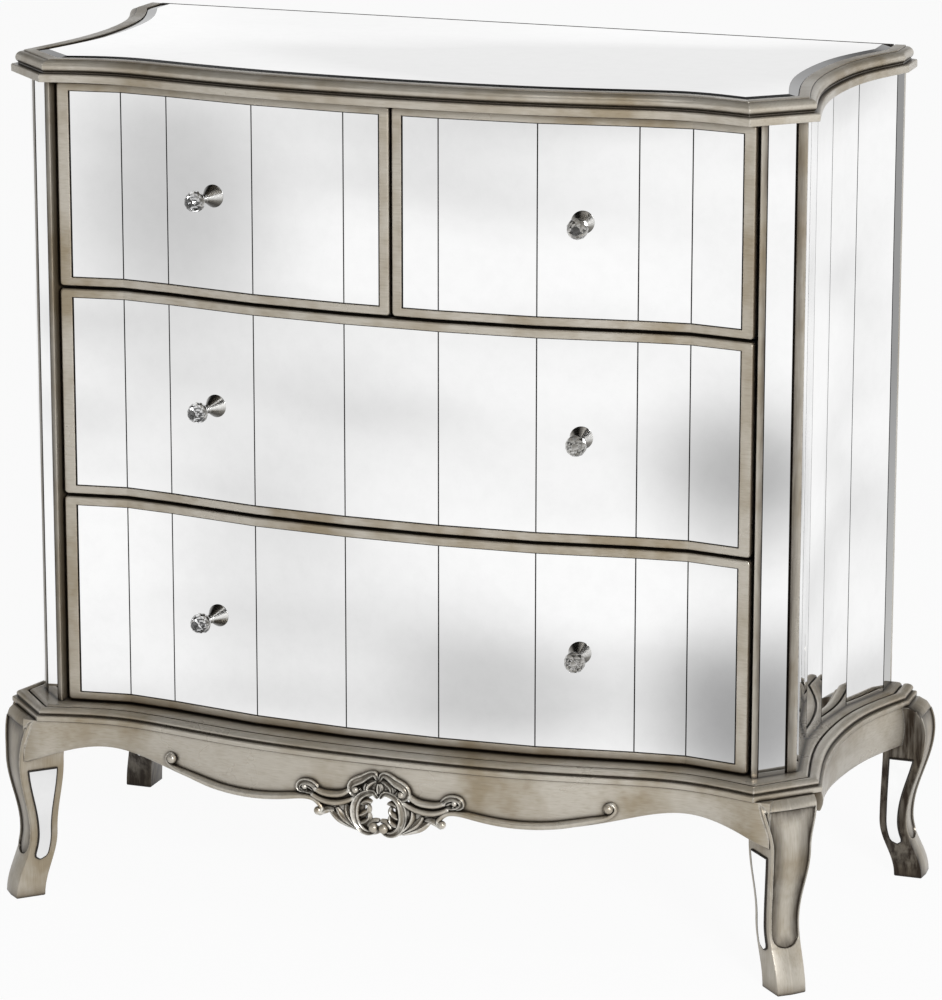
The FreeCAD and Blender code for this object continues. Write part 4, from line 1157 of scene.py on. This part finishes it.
def ball(made, x, z, radius, out):
    """A slightly flattened bead whose middle stands out from the apron."""
    rows = []
    spins = [2 * math.pi * k / 16 for k in range(16)]
    for i in range(9):
        turn = math.pi * (0.02 + 0.96 * i / 8) - math.pi / 2
        flat = radius * math.cos(turn)
        level = apron_face(x) - out + radius * math.sin(turn) * 0.9
        rows.append([(x + flat * math.cos(a), level, z + flat * math.sin(a)) for a in spins])
    made.tube(rows)


ARM_WIDTHS = (6, 7.2, 7.6, 7.2, 6)
# Carved lines of the right half: points of x and z, widths, how far out the foot
# lies, height of the relief, section.
CARVED_LINES = (
    # grounds that close the field round the opening
    (((1, 183), (12, 182), (22, 174), (25, 161), (23, 147), (16, 139), (6, 138), (0, 141)),
     (9, 13, 14, 15, 15, 12, 9, 8), -1.0, 1.6, BEAD),
    (((20, 142), (32, 150), (44, 158), (56, 163), (68, 165)), (10, 20, 22, 20, 12), -1.5, 1.6, BEAD),
    (((26, 168), (42, 165), (58, 168)), (12, 16, 10), -1.6, 1.4, BEAD),
    (((34, 177), (55, 172), (72, 173), (84, 179)), (9, 11, 11, 9), -1.0, 1.4, BEAD),
    (((3, 191), (16, 188), (28, 184)), (14, 15, 12), -1.5, 1.2, BEAD),
    # big scroll round the opening
    (((1.5, 176), (6, 182), (15, 181), (24, 174), (28, 162), (26.5, 149), (20, 139.5), (11, 136.5),
      (5, 140), (6.5, 146)), (4, 7, 9.5, 10.5, 10.5, 10, 9, 8, 6.5, 4.5), 2.0, 6.8, BAND),
    # leaves inside the scroll
    (((24, 145), (17, 147), (12, 152), (12.5, 158)), (6, 9, 8.5, 3), 0.8, 5.4, LEAF),
    (((24, 154), (17, 157), (12.5, 162), (14, 168)), (6, 9, 8.5, 3), 0.8, 5.0, LEAF),
    (((22, 167), (15, 171), (9, 170)), (6, 8.5, 3), 0.6, 4.6, LEAF),
    (((13, 142), (7, 148.5), (0.5, 150)), (8, 8.5, 4), 0.2, 3.6, LEAF),
    # crest: scroll, its volute and leaves
    (((1.5, 197), (4.5, 203.5), (11.5, 202), (19, 197), (27, 193), (32.5, 186.5), (30, 179.5),
      (24, 179.5), (22, 184), (25.5, 186)), (4, 7, 9, 10, 10, 9, 7.4, 6, 5, 4), 2.0, 6.8, BAND),
    (((3, 196), (9, 193), (14, 187), (13, 181)), (4, 7.5, 8, 4), 0.9, 4.8, LEAF),
    (((15, 192), (17, 187), (16, 182)), (4, 7, 4), 0.9, 4.6, LEAF),
    (((0.8, 193), (2.2, 187), (1, 181)), (4, 6, 4), 0.7, 4.2, LEAF),
    # arm of two bands
    (((33, 183), (42, 177), (55, 174.5), (67, 175.5), (77, 179.5)), ARM_WIDTHS, 1.4, 5.2, BEAD),
    (((26, 175), (40, 168.5), (54, 165.8), (68, 167.5), (80, 173)), ARM_WIDTHS, 1.5, 5.2, BEAD),
    # knot at the end of the arm
    (((72, 179), (78, 184), (86, 185.5), (93, 182.5), (94, 177.5), (88, 175.5), (84.5, 178)),
     (6, 7, 7, 7, 6.4, 5.4, 4.4), 1.8, 5.8, BAND),
    (((77, 177), (82, 180.5), (88, 180)), (4.6, 6.4, 3.4), 1.4, 4.8, LEAF),
    (((76, 174), (84, 174), (92, 177)), (4, 6, 4), 1.2, 4.4, LEAF),
    # fan of leaves under the arm
    (((22, 137), (31, 147), (37, 157), (38, 166)), (4, 9, 10, 4), 1.0, 5.4, LEAF),
    (((24, 138), (36, 145.5), (46, 154), (50, 161)), (4, 9, 10, 4), 0.8, 5.2, LEAF),
    (((26, 138), (39, 143.5), (50, 149.5), (58, 156)), (4, 8, 9, 4.5), 0.6, 4.8, LEAF),
    (((52, 157), (60, 156.5), (68, 152), (71, 149)), (4, 8, 8, 4), 0.6, 4.6, LEAF),
    (((29, 152), (32, 160), (31, 169)), (4, 8, 4), 0.4, 4.2, LEAF),
    # bead of the apron, from its curl to the hook under the arm
    (((250, 190), (256, 191), (260, 186), (255, 178.5), (238, 172.5), (205, 165.2),
      (168, 161.4), (135, 162.4), (108, 166), (90, 168.5), (77, 167), (69.5, 161), (67, 154),
      (71, 151), (74, 155)), (4, 6, 8, 8.6, 8.4, 8.4, 8.4, 8.4, 8.4, 8.2, 8, 7.6, 7, 6, 5),
     0.8, 5.4, BEAD),
)
# Beads of the carving: x, z, radius and how far out their middle lies.
CARVED_BALLS = ((5.8, 143.0, 5.6, 5.0), (26.5, 184.0, 3.8, 5.8), (86.5, 180.5, 3.2, 5.0),
                (71.5, 154.0, 4.8, 2.6), (253.0, 186.5, 5.6, 3.6))


def carving():
    """Scrolls, crest and leaves, drawn for the right half and mirrored."""
    made = Builder()
    for side, _ in SIDES:
        for points, widths, out, high, section in CARVED_LINES:
            placed = section if side > 0 else flip(reversed(section))
            steps = 140 if len(points) > 12 else 44
            stroke(made, flip(points, side), widths, out, high, placed, steps)
        for x, z, radius, out in CARVED_BALLS:
            ball(made, side * x, z, radius, out)
    return made


carved = carving().piece("scroll_carving", LEAF_CARVED, sharp=45)
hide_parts("carving")


# ---- finishes of the CAD pieces

def finish_node(material, *names):
    """Give nodes of the frame their material."""
    for name in names:
        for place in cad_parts[name].material_slots:
            place.material = material


finish_node(MIRROR, "front_post_mirrors")
finish_node(MIRROR_SIDE, "side_mirrors_left", "side_mirrors_right")
finish_node(BED, "top_board", "side_panel_left", "side_panel_right")
finish_node(DARK_WOOD, "case_floor", "drawer_rails", "centre_divider", "drawer_runners",
            "apron_back")
finish_node(LEAF_Z, "rear_posts")
finish_node(BACK_WOOD, "back_panel")
for label, *_ in DRAWERS:
    finish_node(MIRROR, label + "_mirrors")
    finish_node(DRAWER_WOOD, label + "_sides", label + "_back", label + "_bottom")
    finish_node(SCREW, label + "_screws")


# ---- floor, light, camera

FLOOR_REACH = 30.0


def stage_floor():
    """White floor: plain paint, shown white to camera, mirrors and glass."""
    paint = Paint("studio_floor")
    path = paint.node("ShaderNodeLightPath").outputs
    seen = paint.maths("MAXIMUM", path["Is Camera Ray"], path["Is Glossy Ray"])
    seen = paint.maths("MAXIMUM", seen, path["Is Transmission Ray"])
    light = paint.glow(WHITE, "ShaderNodeEmission")
    shown = paint.blend(paint.times(seen, 0.95), paint.shader.outputs[0], light)
    paint.link(shown, paint.tree.nodes["Material Output"].inputs["Surface"])
    mesh = bpy.data.meshes.new("studio_floor")
    far = FLOOR_REACH
    mesh.from_pydata([(-far, -far, 0), (far, -far, 0), (far, far, 0), (-far, far, 0)], [], [range(4)])
    mesh.materials.append(paint.finish((0.80, 0.80, 0.80, 1.0), 0.9, 0.0))
    floor = show("studio_floor", mesh)
    floor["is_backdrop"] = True


def studio_world():
    """Dim surround; mirrors see a white sweep under a dark ceiling, cut glass sees cards."""
    world = bpy.data.worlds.new("studio")
    world.use_nodes = True
    bpy.context.scene.world = world
    sky = Nodes(world.node_tree)
    sky.tree.nodes.clear()
    place = sky.node("ShaderNodeTexCoord").outputs["Generated"]
    axes = sky.node("ShaderNodeSeparateXYZ")
    sky.link(place, axes.inputs[0])
    sweep = sky.ramp(axes.outputs["Z"], ((0.14, 1.0), (0.26, 0.86), (0.34, 0.42), (0.46, 0.04)))
    lift = sky.node("ShaderNodeMath", operation="MULTIPLY_ADD")
    sky.fill(lift, {0: axes.outputs["X"], 1: 0.5, 2: 0.5})
    across = sky.ramp(lift.outputs[0], ((0.15, 0.0), (0.50, 0.05), (0.90, 0.13)))
    wave = sky.node("ShaderNodeTexWave", wave_type="BANDS", bands_direction="DIAGONAL")
    sky.fill(wave, {"Scale": 1.6, "Distortion": 3.0, "Vector": place})
    cards = sky.ramp(wave.outputs["Fac"], ((0.45, 0.01), (0.62, 1.0)))
    path = sky.node("ShaderNodeLightPath").outputs
    shown = sky.glow(across)
    for ray, colour in (("Glossy", sweep), ("Transmission", cards), ("Camera", WHITE)):
        shown = sky.blend(path["Is %s Ray" % ray], shown, sky.glow(colour))
    sky.link(shown, sky.node("ShaderNodeOutputWorld").inputs["Surface"])


def lamp(name, place, target, wide, tall, watts):
    """Soft rectangular lamp looking at a point."""
    light = bpy.data.lights.new(name, "AREA")
    light.shape = "RECTANGLE"
    light.size = wide
    light.size_y = tall
    light.energy = watts
    obj = show(name, light)
    obj.location = place
    aim = Vector(target) - Vector(place)
    obj.rotation_euler = aim.to_track_quat("-Z", "Y").to_euler()


def photo_camera():
    """The photograph's place, lens and framing."""
    camera = bpy.data.cameras.new("photo_camera")
    camera.sensor_width = 36.0
    camera.lens = 163.93
    camera.shift_y = -0.0726
    camera.clip_end = 100.0
    obj = show("photo_camera", camera)
    obj.location = (1.6802, -4.5931, 1.7477)
    roll = Matrix.Rotation(math.radians(0.046), 4, "Z")
    turn = Matrix.Rotation(math.radians(19.853), 4, "Z")
    tilt = Matrix.Rotation(math.radians(90.0 - 13.925), 4, "X")
    obj.rotation_euler = (turn @ tilt @ roll).to_euler()
    bpy.context.scene.camera = obj


stage_floor()
studio_world()
lamp("key", (3.0, -3.7, 2.0), (0.0, 0.0, 0.45), 1.0, 0.8, 185.0)
lamp("top", (0.6, -1.4, 3.6), (0.0, 0.0, 0.4), 2.4, 0.7, 14.0)
lamp("side", (4.2, 0.6, 1.5), (0.4, 0.0, 0.4), 1.2, 1.6, 8.0)
photo_camera()
bpy.context.scene.view_settings.view_transform = "Standard"

low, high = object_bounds()
